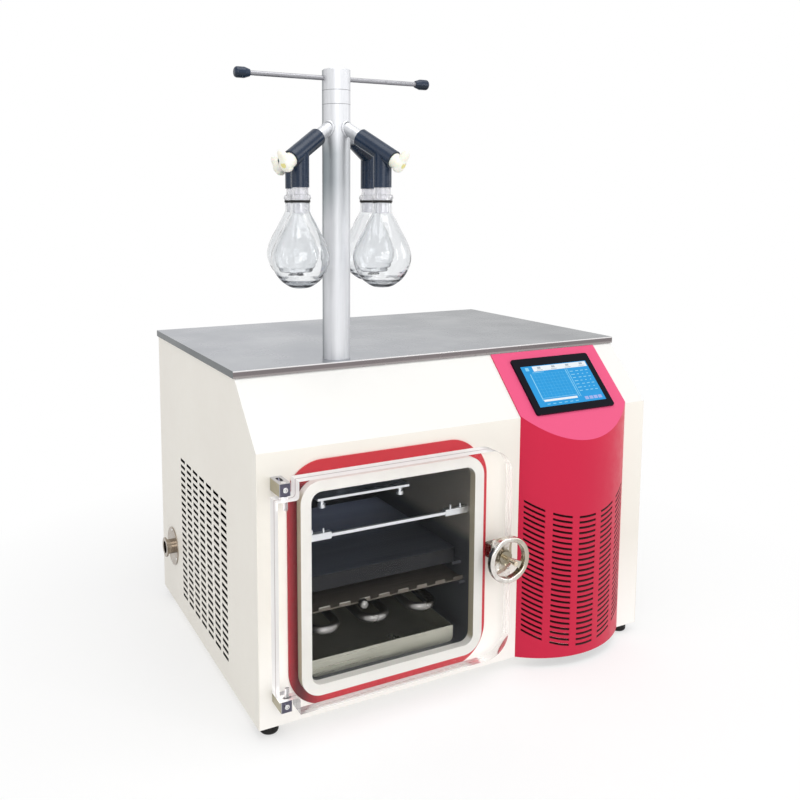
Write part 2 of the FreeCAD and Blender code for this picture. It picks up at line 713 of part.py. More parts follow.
def make_drip_tray():
    left = CHAMBER_LEFT + size("tray_left_gap")
    right = CHAMBER_RIGHT - size("tray_right_gap")
    skin = size("tray_sheet")
    depth = size("tray_depth")
    height = size("tray_height")
    front = size("tray_front")
    outer = put(pad("tray_outer", "XZ_Plane", [trough_outline(
        left, right, height, size("tray_corner"))], depth), ZERO, front, CHAMBER_FLOOR)
    inner = put(pad("tray_inner", "XZ_Plane", [trough_outline(
        left + skin, right - skin, height, size("tray_corner") - skin)], depth - 2 * skin),
        ZERO, front + skin, CHAMBER_FLOOR + skin)
    finished(cut("drip_tray", outer, inner), "drip_tray")


def make_cross_bar():
    z = CHAMBER_FLOOR + size("bar_height")
    thick = size("bar_thickness")
    front = size("bar_front")
    length = size("bar_block_length")
    height = size("bar_block_height")
    pieces = [put(block("cross_rail", INNER_WIDTH, thick, thick), CHAMBER_LEFT, front, z)]
    for x in (CHAMBER_LEFT, CHAMBER_RIGHT - length):
        end = block("cross_end", length, size("bar_block_depth"), height)
        pieces.append(put(end, x, front, z + thick / 2 - height / 2))
        for step in (-1, 1):
            pin = rod("cross_pin", size("bar_pin_radius"), size("bar_pin_height") + height / 2)
            pieces.append(put(pin, x + length / 2 + step * size("bar_pin_spacing"),
                              front + size("bar_block_depth") / 2, z + thick / 2))
    finished(fuse("cross_bar", pieces), "cross_bar")


# ---------------------------------------------------------------- door, hinges and latch

def door_outline():
    """Door outline about the mouth's centre: two round right corners, two notched left corners."""
    left = -(size("door_width") / 2)
    right = size("door_width") / 2
    low = -(size("door_height") / 2)
    high = size("door_height") / 2
    corner = size("door_corner")
    wide = size("notch_width")
    tall = size("notch_height")
    small = size("notch_corner")
    return [
        (left + wide, low), (right - corner, low), (right, low + corner, corner),
        (right, high - corner), (right - corner, high, corner), (left + wide, high),
        (left + wide, high - tall + small), (left + wide - small, high - tall, -small),
        (left, high - tall), (left, low + tall), (left + wide - small, low + tall),
        (left + wide, low + tall - small, -small),
    ]


def make_door_plate():
    slab = put(pad("door_slab", "XZ_Plane", [door_outline()], size("door_thickness")),
               MOUTH_X, DOOR_FRONT, MOUTH_Z)
    bush_hole = put(rod("door_bush_hole", size("bush_radius"), 2 * size("door_thickness")),
                    LATCH_X, DOOR_FRONT - size("door_thickness") / 2, MOUTH_Z, X_AXIS,
                    -QUARTER_TURN)
    holes = [bush_hole]
    sink = size("hinge_pin_sink")
    for name, z in (("low", DOOR_LOW + size("notch_height") - sink),
                    ("high", DOOR_HIGH - size("notch_height") - sink)):
        hole = rod("door_pin_hole_" + name, size("hinge_pin_radius"), 2 * sink)
        holes.append(put(hole, HINGE_X, HINGE_Y, z))
    finished(cut("door_plate", slab, fuse("door_holes", holes)), "door_plate")


def make_hinges():
    """Two blocks on the cabinet, and the door's shoulder pins that turn in their bores."""
    gap = size("hinge_block_gap")
    height = size("hinge_block_height")
    width = size("hinge_block_width")
    depth = size("hinge_block_depth")
    sink = size("hinge_pin_sink")
    shoulder = size("hinge_shoulder_height")
    slot_depth = size("hinge_slot_depth")
    left = DOOR_LEFT + size("hinge_block_offset")
    pin_length = sink + shoulder + gap + height
    low_edge = DOOR_LOW + size("notch_height")
    high_edge = DOOR_HIGH - size("notch_height")
    low_block = low_edge - shoulder - gap - height
    high_block = high_edge + shoulder + gap
    pins = []
    for name, low, slot_low, pin_low, shoulder_low in (
            ("lower_hinge_block", low_block, low_block, low_block, low_edge - shoulder),
            ("upper_hinge_block", high_block, high_block + height - slot_depth,
             high_edge - sink, high_edge)):
        solid = put(block(name + "_blank", width, depth, height), left, -depth, low)
        soft = round_edges(name + "_soft", solid, size("hinge_block_edge"),
                           lambda edge: runs_along(edge, Z_AXIS))
        hole = put(rod(name + "_bore", size("hinge_pin_radius") + running_gap, 3 * height),
                   HINGE_X, HINGE_Y, low - height)
        half_slot = size("hinge_slot_width") / 2
        slot = put(pad(name + "_slot", "XY_Plane", [rounded_rectangle(
            -half_slot, half_slot, -size("hinge_slot_front"), -size("hinge_slot_back"),
            size("hinge_slot_corner"))], slot_depth), HINGE_X, ZERO, slot_low)
        finished(cut(name, soft, fuse(name + "_holes", [hole, slot])), name)
        pin = put(rod(name + "_pin", size("hinge_pin_radius"), pin_length),
                  HINGE_X, HINGE_Y, pin_low)
        collar = put(rod(name + "_pin_shoulder", size("hinge_shoulder_radius"), shoulder),
                     HINGE_X, HINGE_Y, shoulder_low)
        pins.append(fuse(name + "_shoulder_pin", [pin, collar]))
    finished(group("hinge_pins", pins), "hinge_pins")


def make_latch():
    spindle = size("spindle_radius")
    door = size("door_thickness")
    plate = size("bush_plate_thickness")
    half_width = size("bush_plate_width") / 2
    half_height = size("bush_plate_height") / 2
    flange = put(pad("bush_flange", "XZ_Plane", [rounded_rectangle(
        -half_width, half_width, -half_height, half_height, size("bush_plate_corner"))], plate),
        LATCH_X, DOOR_FRONT - plate, MOUTH_Z)
    barrel = put(rod("bush_barrel", size("bush_radius"), door), LATCH_X, DOOR_FRONT, MOUTH_Z,
                 X_AXIS, -QUARTER_TURN)
    bore = put(rod("bush_bore", spindle + running_gap, 2 * door), LATCH_X, DOOR_FRONT - door / 2,
               MOUTH_Z, X_AXIS, -QUARTER_TURN)
    finished(cut("latch_bush", fuse("bush_blank", [flange, barrel]), bore), "latch_bush")

    reach = size("spindle_reach")
    length = reach + DOOR_BACK
    edge = size("spindle_edge")
    shaft = turn("latch_spindle", [
        (ZERO, ZERO), (spindle - edge, ZERO), (spindle, edge), (spindle, length - edge),
        (spindle - edge, length), (ZERO, length)])
    finished(put(shaft, LATCH_X, -reach, MOUTH_Z, X_AXIS, -QUARTER_TURN), "latch_spindle")

    width = size("block_width")
    height = size("block_height")
    depth = size("seal_projection") - size("block_stand_off")
    lug = put(block("latch_lug", width, depth, height), LATCH_X - width / 2, -depth,
              MOUTH_Z - height / 2)
    socket = put(rod("latch_socket", spindle + size("block_bore_gap"),
                     2 * size("block_bore_depth")),
                 LATCH_X, -depth - size("block_bore_depth"), MOUTH_Z, X_AXIS, -QUARTER_TURN)
    finished(cut("latch_block", lug, socket), "latch_block")


def make_handwheel():
    """Dished wheel: hub, conical web with three windows, and a heavy rim in front of the hub."""
    outer = size("wheel_radius")
    rim = size("wheel_rim_width")
    rim_depth = size("wheel_rim_depth")
    edge = size("wheel_rim_edge")
    hub = size("wheel_hub_radius")
    hub_length = size("wheel_hub_length")
    web = size("wheel_web")
    dish = size("wheel_dish")
    bore = size("spindle_radius") + running_gap
    body = turn("handwheel", [
        (bore, ZERO), (hub, ZERO), (outer - rim, dish), (outer - edge, dish),
        (outer, dish + edge, edge), (outer, dish + rim_depth - edge),
        (outer - edge, dish + rim_depth, edge), (outer - rim + edge, dish + rim_depth),
        (outer - rim, dish + rim_depth - edge, edge), (outer - rim, dish + web),
        (hub, 2 * web), (hub, hub_length), (bore, hub_length)])
    inner = size("wheel_window_inner")
    first = size("wheel_window_turn") - size("wheel_window_span") / 2
    last = size("wheel_window_turn") + size("wheel_window_span") / 2
    window_outer = outer - rim
    sketch = new_sketch(body, "wheel_window_profile", "XY_Plane")
    draw_loop(sketch, [
        (inner * cosine(first), inner * sine(first), -inner),
        (window_outer * cosine(first), window_outer * sine(first)),
        (window_outer * cosine(last), window_outer * sine(last), window_outer),
        (inner * cosine(last), inner * sine(last))])
    window = body.newObject("PartDesign::Pocket", "wheel_window")
    window.Profile = sketch
    window.Type = "ThroughAll"
    window.Midplane = True
    ring = body.newObject("PartDesign::PolarPattern", "wheel_windows")
    ring.Originals = [window]
    ring.Axis = (origin_feature(body, "Z_Axis"), [""])
    ring.Angle = 360
    bind(ring, "Occurrences", size("wheel_windows"))
    body.Tip = ring
    back = DOOR_FRONT - size("bush_plate_thickness") - fit_gap
    finished(put(body, LATCH_X, back, MOUTH_Z, X_AXIS, QUARTER_TURN), "handwheel")


# ---------------------------------------------------------------- control side

def slope_prism(name, x, width, lift, back, floor):
    """Wedge under the sloped front: everything below the slope, lifted by a height, up to back."""
    rise = lift * SLOPE_LENGTH / slope_setback
    reach = size("cover_bulge") * 2
    grade = SLOPE_RISE / slope_setback
    body = pad(name, "YZ_Plane", [[
        (-reach, floor), (back, floor), (back, bend_height + back * grade + rise),
        (-reach, bend_height - reach * grade + rise)]], width)
    return put(body, x, ZERO, ZERO)


def make_control_cover():
    """Curved cover with a sloped top that carries the front's slope forward over the bulge."""
    width = size("cover_width")
    bulge = size("cover_bulge")
    wall = size("cover_wall")
    radius = (width * width / 4 + bulge * bulge) / (2 * bulge)
    x = size("cover_x")
    centre_y = radius - bulge
    back = slope_setback - size("cover_top_gap")
    height = body_height + 2 * size("plate_height")
    outer = common("cover_outer", [
        put(rod("cover_drum", radius, height), x, centre_y, ZERO),
        slope_prism("cover_under_slope", x - width / 2, width, size("cover_proud"), back, ZERO)])
    inner = common("cover_hollow", [
        put(rod("cover_inner_drum", radius - wall, 3 * height), x, centre_y, -height),
        slope_prism("cover_inner_slope", x - width / 2 + wall, width - 2 * wall,
                    size("cover_proud") - wall, back + wall, -wall)])
    behind = put(pad("cover_behind", "YZ_Plane", [[
        (ZERO, -wall), (back + wall, -wall),
        (back + wall, bend_height + (back + wall) * SLOPE_RISE / slope_setback),
        (ZERO, bend_height)]], width + 2 * wall), x - width / 2 - wall, ZERO, ZERO)
    shell = cut("cover_shell", outer, fuse("cover_waste", [inner, behind]))

    half_angle = size("cover_slot_arc") / radius * (90 / math.pi)
    slots = []
    columns = SIZES["cover_slot_columns"]
    for column in range(columns):
        angle = (column - (columns - 1) / 2) * size("cover_slot_angle")
        half = radius * sine(half_angle) * cosine(angle)
        slot_x = x + radius * sine(angle) - half
        slots.append((slot_x, 2 * half))
    opening = size("cover_slot_opening")
    tilt = size("cover_slot_tilt")
    start = 2 * bulge
    cutters = []
    for row in range(SIZES["cover_slot_rows"]):
        z = size("cover_slot_top") - row * size("cover_slot_pitch") - opening / 2
        for slot_x, slot_width in slots:
            blade = block("cover_slot", slot_width, 2 * start, opening)
            put(blade, slot_x, -(start * cosine(tilt)), z - start * sine(tilt), X_AXIS, tilt)
            cutters.append(blade)
    finished(cut("control_cover", shell, group("cover_slots", cutters)), "control_cover")


def make_screen():
    lift = size("cover_proud")
    x = size("cover_x") + size("bezel_shift")
    width = size("bezel_width")
    height = size("bezel_height")
    thick = size("bezel_thickness")
    start = size("bezel_start")
    angle = SLOPE_ANGLE
    up_y = cosine(angle)
    up_z = sine(angle)

    def on_slope(item, left, along, above):
        y = along * up_y - above * up_z
        z = bend_height + along * up_z + above * up_y
        return put(item, left, y, z, X_AXIS, angle)

    frame = on_slope(pad("bezel_blank", "XY_Plane", [rounded_rectangle(
        ZERO, width, ZERO, height, size("bezel_corner"))], thick), x - width / 2, start, lift)
    depth = size("display_depth")
    glass_x = size("cover_x") + size("display_shift")
    seat = on_slope(block("display_seat", size("display_width"), size("display_height"),
                          2 * depth), glass_x - size("display_width") / 2, size("display_start"),
                    lift + thick - depth)
    finished(cut("screen_bezel", frame, seat), "screen_bezel")
    glass = block("screen_display", size("display_width"), size("display_height"), depth)
    finished(on_slope(glass, glass_x - size("display_width") / 2, size("display_start"),
                      lift + thick - depth), "screen_display")


# ---------------------------------------------------------------- column, valves and glassware

def along_arm(reach):
    """Distance along the sloping arm axis at a radial reach from the column's axis."""
    return reach / cosine(size("arm_drop"))


def arm_rod(name, radius, start, length):
    """Cylinder on the sloping arm axis, in the arm's own frame (X outwards, Z up)."""
    drop = size("arm_drop")
    item = rod(name, radius, length)
    return move(item, start * cosine(drop), ZERO, -(start * sine(drop)), Y_AXIS,
                QUARTER_TURN + drop)


def arm_turn(index):
    return size("arm_angle") + index * QUARTER_TURN


def put_on_arm(item, index):
    """Turns a piece made in the arm's own frame to its place on the column."""
    return put(item, COLUMN_X, COLUMN_Y, ARM_START_Z, Z_AXIS, arm_turn(index))


def make_column():
    radius = size("column_radius")
    wall = size("column_wall")
    low = CHAMBER_CEILING + size("chamber_wall")
    tube = put(turn("column_tube", [
        (radius - wall, low), (radius, low), (radius, size("column_top")),
        (radius - wall, size("column_top"))]), COLUMN_X, COLUMN_Y, ZERO)
    stubs = []
    bores = []
    start = along_arm(radius - wall / 2)
    end = along_arm(size("valve_inner_reach")) + size("stub_insert")
    bore_radius = size("stub_radius") - size("stub_wall")
    for index in range(ARM_COUNT):
        stub = arm_rod("stub_rod", size("stub_radius"), start, end - start)
        stubs.append(put_on_arm(group("stub", [stub]), index))
        bore = arm_rod("stub_bore_rod", bore_radius, start - 2 * wall, end - start + 4 * wall)
        bores.append(put_on_arm(group("stub_bore", [bore]), index))
    finished(cut("manifold_column", fuse("column_welded", [tube] + stubs),
                 fuse("column_bores", bores)), "manifold_column")


def make_valve(index):
    name = "valve_body_%d" % (index + 1)
    radius = size("valve_radius")
    start = along_arm(size("valve_inner_reach"))
    length = along_arm(size("valve_outer_reach")) - start
    barrel = arm_rod(name + "_barrel", radius, start, length)
    bottom = size("valve_bottom") - ARM_START_Z
    middle = -(size("arm_radius") * ARM_SLOPE)
    leg = move(rod(name + "_leg", radius, middle - bottom), size("arm_radius"), ZERO, bottom)
    bore = arm_rod(name + "_bore", size("stub_radius") + running_gap, start - radius,
                   length + 2 * radius)
    leg_bore = move(rod(name + "_leg_bore", size("adapter_shank"), middle - bottom + radius),
                    size("arm_radius"), ZERO, bottom - radius)
    body = cut(name, fuse(name + "_cast", [barrel, leg]), fuse(name + "_bores", [bore, leg_bore]))
    finished(put_on_arm(body, index), name)


def make_valve_plug(index):
    """Turning plug with a two-winged knob outside the valve's lower end."""
    name = "valve_plug_%d" % (index + 1)
    outer_end = along_arm(size("valve_outer_reach"))
    shank = arm_rod(name + "_shank", size("stub_radius"), outer_end - size("plug_length"),
                    size("plug_length") + fit_gap * 2)
    knob_start = outer_end + fit_gap
    knob = arm_rod(name + "_knob", size("knob_radius"), knob_start,
                   size("knob_length") - size("wing_depth") / 2)
    drop = size("arm_drop")
    span = size("wing_span")
    wide = size("wing_width")
    deep = size("wing_depth")
    wing = block(name + "_wing_blank", span, wide, deep)
    centre = knob_start + size("knob_length") - deep
    out = centre * cosine(drop) + span / 2 * sine(drop)
    up = -(centre * sine(drop)) + span / 2 * cosine(drop)
    move(wing, out, -(wide / 2), up, Y_AXIS, QUARTER_TURN + drop)
    soft_wing = round_edges(name + "_wing", wing, size("wing_edge"), lambda edge: True)
    recess = arm_rod(name + "_recess", size("knob_recess"),
                     knob_start + size("knob_length") - size("knob_recess") / 2,
                     size("knob_recess"))
    body = cut(name, fuse(name + "_blank", [shank, knob, soft_wing]), recess)
    finished(put_on_arm(body, index), name)


def arm_place(index):
    angle = arm_turn(index)
    x = COLUMN_X + size("arm_radius") * cosine(angle)
    y = COLUMN_Y + size("arm_radius") * sine(angle)
    return x, y


def make_adapters():
    """Glass adapters: shank in the valve, rolled bead, and a cone in the flask's neck."""
    visible = size("adapter_visible")
    bead = size("bead_edge")
    bead_low = visible + size("bead_height")
    neck_top = bead_low + size("ring_height")
    cone = neck_top + size("adapter_cone_length")
    cone_radius = size("neck_radius") - size("glass_wall") - fit_gap
    for index in range(ARM_COUNT):
        x, y = arm_place(index)
        body = turn("glass_adapter", [
            (size("adapter_bore"), -cone), (cone_radius - size("adapter_taper"), -cone),
            (cone_radius, -neck_top), (cone_radius, -bead_low), (bead, -bead_low),
            (bead, -visible, size("bead_curve")), (size("adapter_radius"), -visible),
            (size("adapter_radius"), ZERO), (size("adapter_shank"), ZERO),
            (size("adapter_shank"), size("adapter_shank_length")),
            (size("adapter_bore"), size("adapter_shank_length"))])
        finished(put(body, x, y, size("valve_bottom")), "flask_adapter_%d" % (index + 1))


def make_o_rings():
    items = []
    low = size("valve_bottom") - size("adapter_visible") - size("bead_height")
    inner = size("neck_radius") - size("glass_wall")
    for index in range(ARM_COUNT):
        x, y = arm_place(index)
        body = turn("o_ring", rectangle(inner, size("ring_radius"), ZERO, size("ring_height")))
        items.append(put(body, x, y, low - size("ring_height")))
    finished(group("flask_o_rings", items), "flask_o_rings")


def shoulder_touch(ball, neck, centre, shoulder):
    """Point where the straight shoulder from the neck's foot touches the ball of the flask."""
    tall = shoulder - centre
    square = neck * neck + tall * tall
    tangent = root(square - ball * ball)
    touch_r = ball * (ball * neck + tall * tangent) / square
    touch_z = centre + ball * (ball * tall - neck * tangent) / square
    return touch_r, touch_z


def make_flask(index):
    """Blown pear flask: round bottom, straight shoulder and short neck."""
    x, y = arm_place(index)
    wall = size("glass_wall")
    ball = size("flask_radius")
    neck = size("neck_radius")
    centre = -size("flask_drop")
    shoulder = -size("neck_length")
    touch_r, touch_z = shoulder_touch(ball, neck, centre, shoulder)
    in_r, in_z = shoulder_touch(ball - wall, neck - wall, centre, shoulder)
    body = turn("flask", [
        (ZERO, centre - ball), (touch_r, touch_z, ball), (neck, shoulder), (neck, ZERO),
        (neck - wall, ZERO), (neck - wall, shoulder), (in_r, in_z),
        (ZERO, centre - ball + wall, wall - ball)])
    top = size("valve_bottom") - size("adapter_visible") - size("bead_height")
    finished(put(body, x, y, top - size("ring_height")), "flask_%d" % (index + 1))


# ---------------------------------------------------------------- stoppering press and T handle

def make_collar():
    radius = size("column_radius")
    inner = size("spigot_radius") + fit_gap
    socket = radius - size("column_wall")
    height = size("collar_height")
    body = turn("column_collar", [
        (inner, -size("collar_socket")), (socket, -size("collar_socket")), (socket, ZERO),
        (radius, ZERO), (radius, height - fit_gap), (inner, height - fit_gap)])
    finished(put(body, COLUMN_X, COLUMN_Y, size("column_top")), "column_collar")


def make_handle():
    radius = size("column_radius")
    height = size("head_height")
    edge = size("head_edge")
    spigot = size("spigot_radius")
    length = size("spigot_length")
    rod_bore = size("rod_radius") + running_gap
    bore_top = height - size("bar_drop") - size("bar_radius") - size("rod_top_gap")
    head = put(turn("head_blank", [
        (rod_bore, -length), (spigot, -length), (spigot, ZERO), (radius, ZERO),
        (radius, height - edge), (radius - edge, height), (ZERO, height),
        (ZERO, bore_top), (rod_bore, bore_top)]), COLUMN_X, COLUMN_Y, COLLAR_TOP)
    half = size("bar_half_length")
    cross = put(rod("head_cross_hole", size("bar_radius"), 4 * radius), COLUMN_X - 2 * radius,
                COLUMN_Y, HANDLE_Z, Y_AXIS, QUARTER_TURN)
    finished(cut("handle_head", head, cross), "handle_head")
    bar = put(rod("t_bar", size("bar_radius"), 2 * half), COLUMN_X - half, COLUMN_Y, HANDLE_Z,
              Y_AXIS, QUARTER_TURN)
    finished(bar, "t_bar")
    grip = size("grip_radius")
    taper = size("grip_taper")
    round_edge = size("grip_edge")
    over = size("grip_overhang")
    inner_end = over - size("grip_length")
    for name, side in (("left_grip", -1), ("right_grip", 1)):
        body = turn(name, [
            (size("bar_radius"), inner_end), (grip - taper, inner_end),
            (grip, inner_end + 3 * taper), (grip, over - round_edge),
            (grip - round_edge, over, round_edge), (ZERO, over), (ZERO, ZERO),
            (size("bar_radius"), ZERO)])
        finished(put(body, COLUMN_X + side * half, COLUMN_Y, HANDLE_Z, Y_AXIS,
                     side * QUARTER_TURN), name)


def make_press():
    plate_z = CHAMBER_FLOOR + size("press_height")
    width = size("press_width")
    depth = size("press_depth")
    thick = size("press_thickness")
    plate = put(block("press_blank", width, depth, thick), COLUMN_X - width / 2,
                COLUMN_Y - depth / 2, plate_z)
    boss = put(rod("press_boss", size("rod_boss_radius"), size("rod_boss_height")), COLUMN_X,
               COLUMN_Y, plate_z + thick)
    inset = size("post_inset") + size("post_radius")
    holes = [put(rod("press_rod_hole", size("rod_radius"), 4 * size("rod_boss_height")), COLUMN_X,
                 COLUMN_Y, plate_z + thick)]
    posts = []
    for side_x in (-1, 1):
        for side_y in (-1, 1):
            x = COLUMN_X + side_x * (width / 2 - inset)
            y = COLUMN_Y + side_y * (depth / 2 - inset)
            hole = rod("post_hole", size("post_radius") / 2, 3 * thick)
            holes.append(put(hole, x, y, plate_z - thick))
            post = turn("post", [
                (ZERO, -size("post_length")), (size("post_foot_radius"), -size("post_length")),
                (size("post_foot_radius"), size("post_foot_height") - size("post_length")),
                (size("post_radius"), size("post_foot_height") - size("post_length")),
                (size("post_radius"), ZERO), (size("post_radius") / 2, ZERO),
                (size("post_radius") / 2, thick), (ZERO, thick)])
            posts.append(put(post, x, y, plate_z))
    finished(cut("press_plate", fuse("press_welded", [plate, boss]), fuse("press_holes", holes)),
             "press_plate")
    finished(group("press_posts", posts), "press_posts")
    top = HANDLE_Z - size("bar_radius") - 2 * size("rod_top_gap")
    low = plate_z + thick
    finished(put(rod("press_rod", size("rod_radius"), top - low), COLUMN_X, COLUMN_Y, low),
             "press_rod")


# ---------------------------------------------------------------- vacuum port

def make_vacuum_port():
    """Flanged tube through the left side that bends towards the chamber's back wall."""
    flange = put(rod("port_flange", size("port_flange_radius"), size("port_flange_thickness")),
                 -size("port_reach"), size("port_y"), size("port_z"), Y_AXIS, QUARTER_TURN)
    x_end = size("port_join_x")
    y_end = size("chamber_depth") + size("chamber_wall")
    bend = size("port_bend")
    pieces = [flange]
    bores = []
    run = x_end - bend + size("port_reach")
    drop = size("port_y") - bend - y_end
    for shapes, radius, name in ((pieces, size("port_radius"), "port_tube"),
                                 (bores, size("port_bore"), "port_hollow")):
        shapes.append(put(rod(name + "_run", radius, run), -size("port_reach"), size("port_y"),
                          size("port_z"), Y_AXIS, QUARTER_TURN))
        elbow = doc.addObject("Part::Torus", name + "_elbow")
        bind(elbow, "Radius1", bend)
        bind(elbow, "Radius2", radius)
        elbow.Angle3 = QUARTER_TURN
        shapes.append(put(elbow, x_end - bend, size("port_y") - bend, size("port_z")))
        shapes.append(put(rod(name + "_drop", radius, drop), x_end, y_end, size("port_z"), X_AXIS,
                          -QUARTER_TURN))
    tube = fuse("port_welded", pieces)
    finished(cut("vacuum_port", tube, fuse("port_bores", bores)), "vacuum_port")
    disc = put(rod("escutcheon_disc", size("escutcheon_radius"), size("escutcheon_thickness")),
               -size("escutcheon_thickness"), size("port_y"), size("port_z"), Y_AXIS,
               QUARTER_TURN)
    hole = put(rod("escutcheon_hole", size("port_radius"), 4 * size("escutcheon_thickness")),
               -2 * size("escutcheon_thickness"), size("port_y"), size("port_z"), Y_AXIS,
               QUARTER_TURN)
    finished(cut("port_escutcheon", disc, hole), "port_escutcheon")


# ---------------------------------------------------------------- refrigeration side

def make_radiator():
    width = size("radiator_width")
    height = size("radiator_height")
    depth = size("radiator_depth")
    x = size("cover_x") - width / 2
    y = sheet_metal + size("radiator_gap")
    core = put(block("radiator_core", width, depth, height), x, y, sheet_metal)
    margin = size("fin_margin")
    count = int((size("radiator_width").number - 2 * margin.number) // SIZES["fin_pitch"])
    slots = []
    for step in range(count):
        for side in (0, 1):
            slot = block("fin_slot", size("fin_slot"), size("fin_slot_depth"),
                         height - 2 * margin)
            slot_y = y + side * (depth - size("fin_slot_depth"))
            slots.append(put(slot, x + margin + step * size("fin_pitch"), slot_y,
                             sheet_metal + margin))
    finished(cut("radiator", core, group("fin_slots", slots)), "radiator")


def make_fan():
    x = size("cover_x")
    z = size("fan_z")
    hub = size("fan_hub_radius")
    hub_length = size("fan_hub_length")
    back = sheet_metal + size("radiator_gap") + size("radiator_depth")
    fan_y = back + size("fan_gap")
    shaft = size("motor_shaft_radius")
    sink = size("motor_shaft_sink")
    body = put(rod("fan_hub", hub, hub_length), x, fan_y, z, X_AXIS, -QUARTER_TURN)
    pieces = [body]
    blade_count = SIZES["fan_blades"]
    for step in range(blade_count):
        blade = block("fan_blade", size("blade_width"), size("blade_thickness"),
                      size("fan_radius") - hub / 2)
        pitch = size("blade_pitch")
        move(blade, -(size("blade_width") / 2 * cosine(pitch)),
             -(size("blade_width") / 2 * sine(pitch)), hub / 2, Z_AXIS, pitch)
        pieces.append(put(group("fan_arm", [blade]), x, fan_y + hub_length / 2, z, Y_AXIS,
                          360 * step / blade_count))
    bore = put(rod("fan_bore", shaft + running_gap, sink + fit_gap), x,
               fan_y + hub_length - sink - fit_gap, z, X_AXIS, -QUARTER_TURN)
    finished(cut("fan_rotor", fuse("fan_moulded", pieces), bore), "fan_blades")

    motor_front = fan_y + hub_length + size("fan_gap")
    motor = put(rod("motor_can", size("motor_radius"), size("motor_length")), x, motor_front, z,
                X_AXIS, -QUARTER_TURN)
    stem = put(rod("motor_stem", shaft, sink + size("fan_gap")), x,
               motor_front - size("fan_gap") - sink, z, X_AXIS, -QUARTER_TURN)
    thick = size("bracket_thickness")
    wide = size("bracket_width")
    plate_y = motor_front + size("motor_length") - thick
    reach = size("fan_radius") + size("fan_gap")
    frame = [motor, stem]
    frame.append(put(block("bracket_bar", 2 * reach, thick, wide), x - reach, plate_y,
                     z - wide / 2))
    for side in (-1, 1):
        leg_x = x + side * (reach - thick / 2) - thick / 2
        frame.append(put(block("bracket_leg", thick, plate_y + thick - back, wide), leg_x, back,
                         z - wide / 2))
    finished(fuse("fan_motor", frame), "fan_motor")


def make_compressor():
    radius = size("compressor_radius")
    dome = size("compressor_dome")
    height = size("compressor_height")
    base = size("compressor_base")
    thick = size("compressor_base_thickness")
    x = size("compressor_x")
    y = size("compressor_y")
    can = put(turn("compressor_can", [
        (ZERO, ZERO), (radius, ZERO), (radius, height - dome), (radius - dome, height, dome),
        (ZERO, height)]), x, y, sheet_metal + thick)
    foot = put(block("compressor_foot", base, base, thick), x - base / 2, y - base / 2,
               sheet_metal)
    finished(fuse("compressor", [can, foot]), "compressor")


def make_power_inlet():
    x = size("inlet_x")
    z = size("inlet_z")
    flange_thick = size("inlet_flange")
    wide = size("inlet_width")
    tall = size("inlet_height")
    body_wide = size("inlet_body_width")
    body_tall = size("inlet_body_height")
    flange = put(block("inlet_plate", wide, flange_thick, tall), x - wide / 2, body_depth,
                 z - tall / 2)
    shell = put(block("inlet_shell", body_wide, size("inlet_body_depth"), body_tall),
                x - body_wide / 2, body_depth - size("inlet_body_depth"), z - body_tall / 2)
    wall = size("inlet_wall")
    recess = size("inlet_recess")
    pocket = put(block("inlet_pocket", body_wide - 2 * wall, recess + flange_thick,
                       body_tall - 2 * wall), x - body_wide / 2 + wall, body_depth - recess,
                 z - body_tall / 2 + wall)
    pins = []
    for step in (-1, 0, 1):
        pin = block("inlet_pin", size("inlet_pin_width"), recess, size("inlet_pin_height"))
        pins.append(put(pin, x + step * size("inlet_pin_spacing") - size("inlet_pin_width") / 2,
                        body_depth - recess, z - size("inlet_pin_height") / 2))
    hollow = cut("inlet_hollow", fuse("inlet_moulded", [flange, shell]), pocket)
    finished(fuse("power_inlet", [hollow] + pins), "power_inlet")


make_base_pan()
make_side_panel("left_side_panel", ZERO, True)
make_side_panel("right_side_panel", body_width - sheet_metal, False)
make_front_panel()
make_rear_panel()
make_top_plate()
make_feet()
make_door_trim()
make_door_seal()
make_chamber()
make_shelf()
make_baffle()
make_condenser_coil()
make_drip_tray()
make_cross_bar()
make_door_plate()
make_hinges()
make_latch()
make_handwheel()
make_control_cover()
make_screen()
make_column()
for arm in range(ARM_COUNT):
    make_valve(arm)
    make_valve_plug(arm)
    make_flask(arm)
make_adapters()
make_o_rings()
make_collar()
make_handle()
make_press()
make_vacuum_port()
make_radiator()
make_fan()
make_compressor()
make_power_inlet()

doc.recompute()
for item in doc.Objects:
    if "Invalid" in item.State or "Error" in item.State:
        raise RuntimeError("%s did not build: %s" % (item.Label, item.State))
for item in sub_parts:
    if item.Shape.isNull() or not item.Shape.isValid() or item.Shape.Volume <= 0:
        raise RuntimeError("%s has no valid solid" % item.Label)

os.makedirs("parts", exist_ok=True)
for item in sub_parts:
    item.Shape.exportStep(os.path.join("parts", item.Label + ".step"))
print("%d sub-parts written" % len(sub_parts))
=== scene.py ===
import math

import bmesh
import bpy
from mathutils import Matrix, Vector


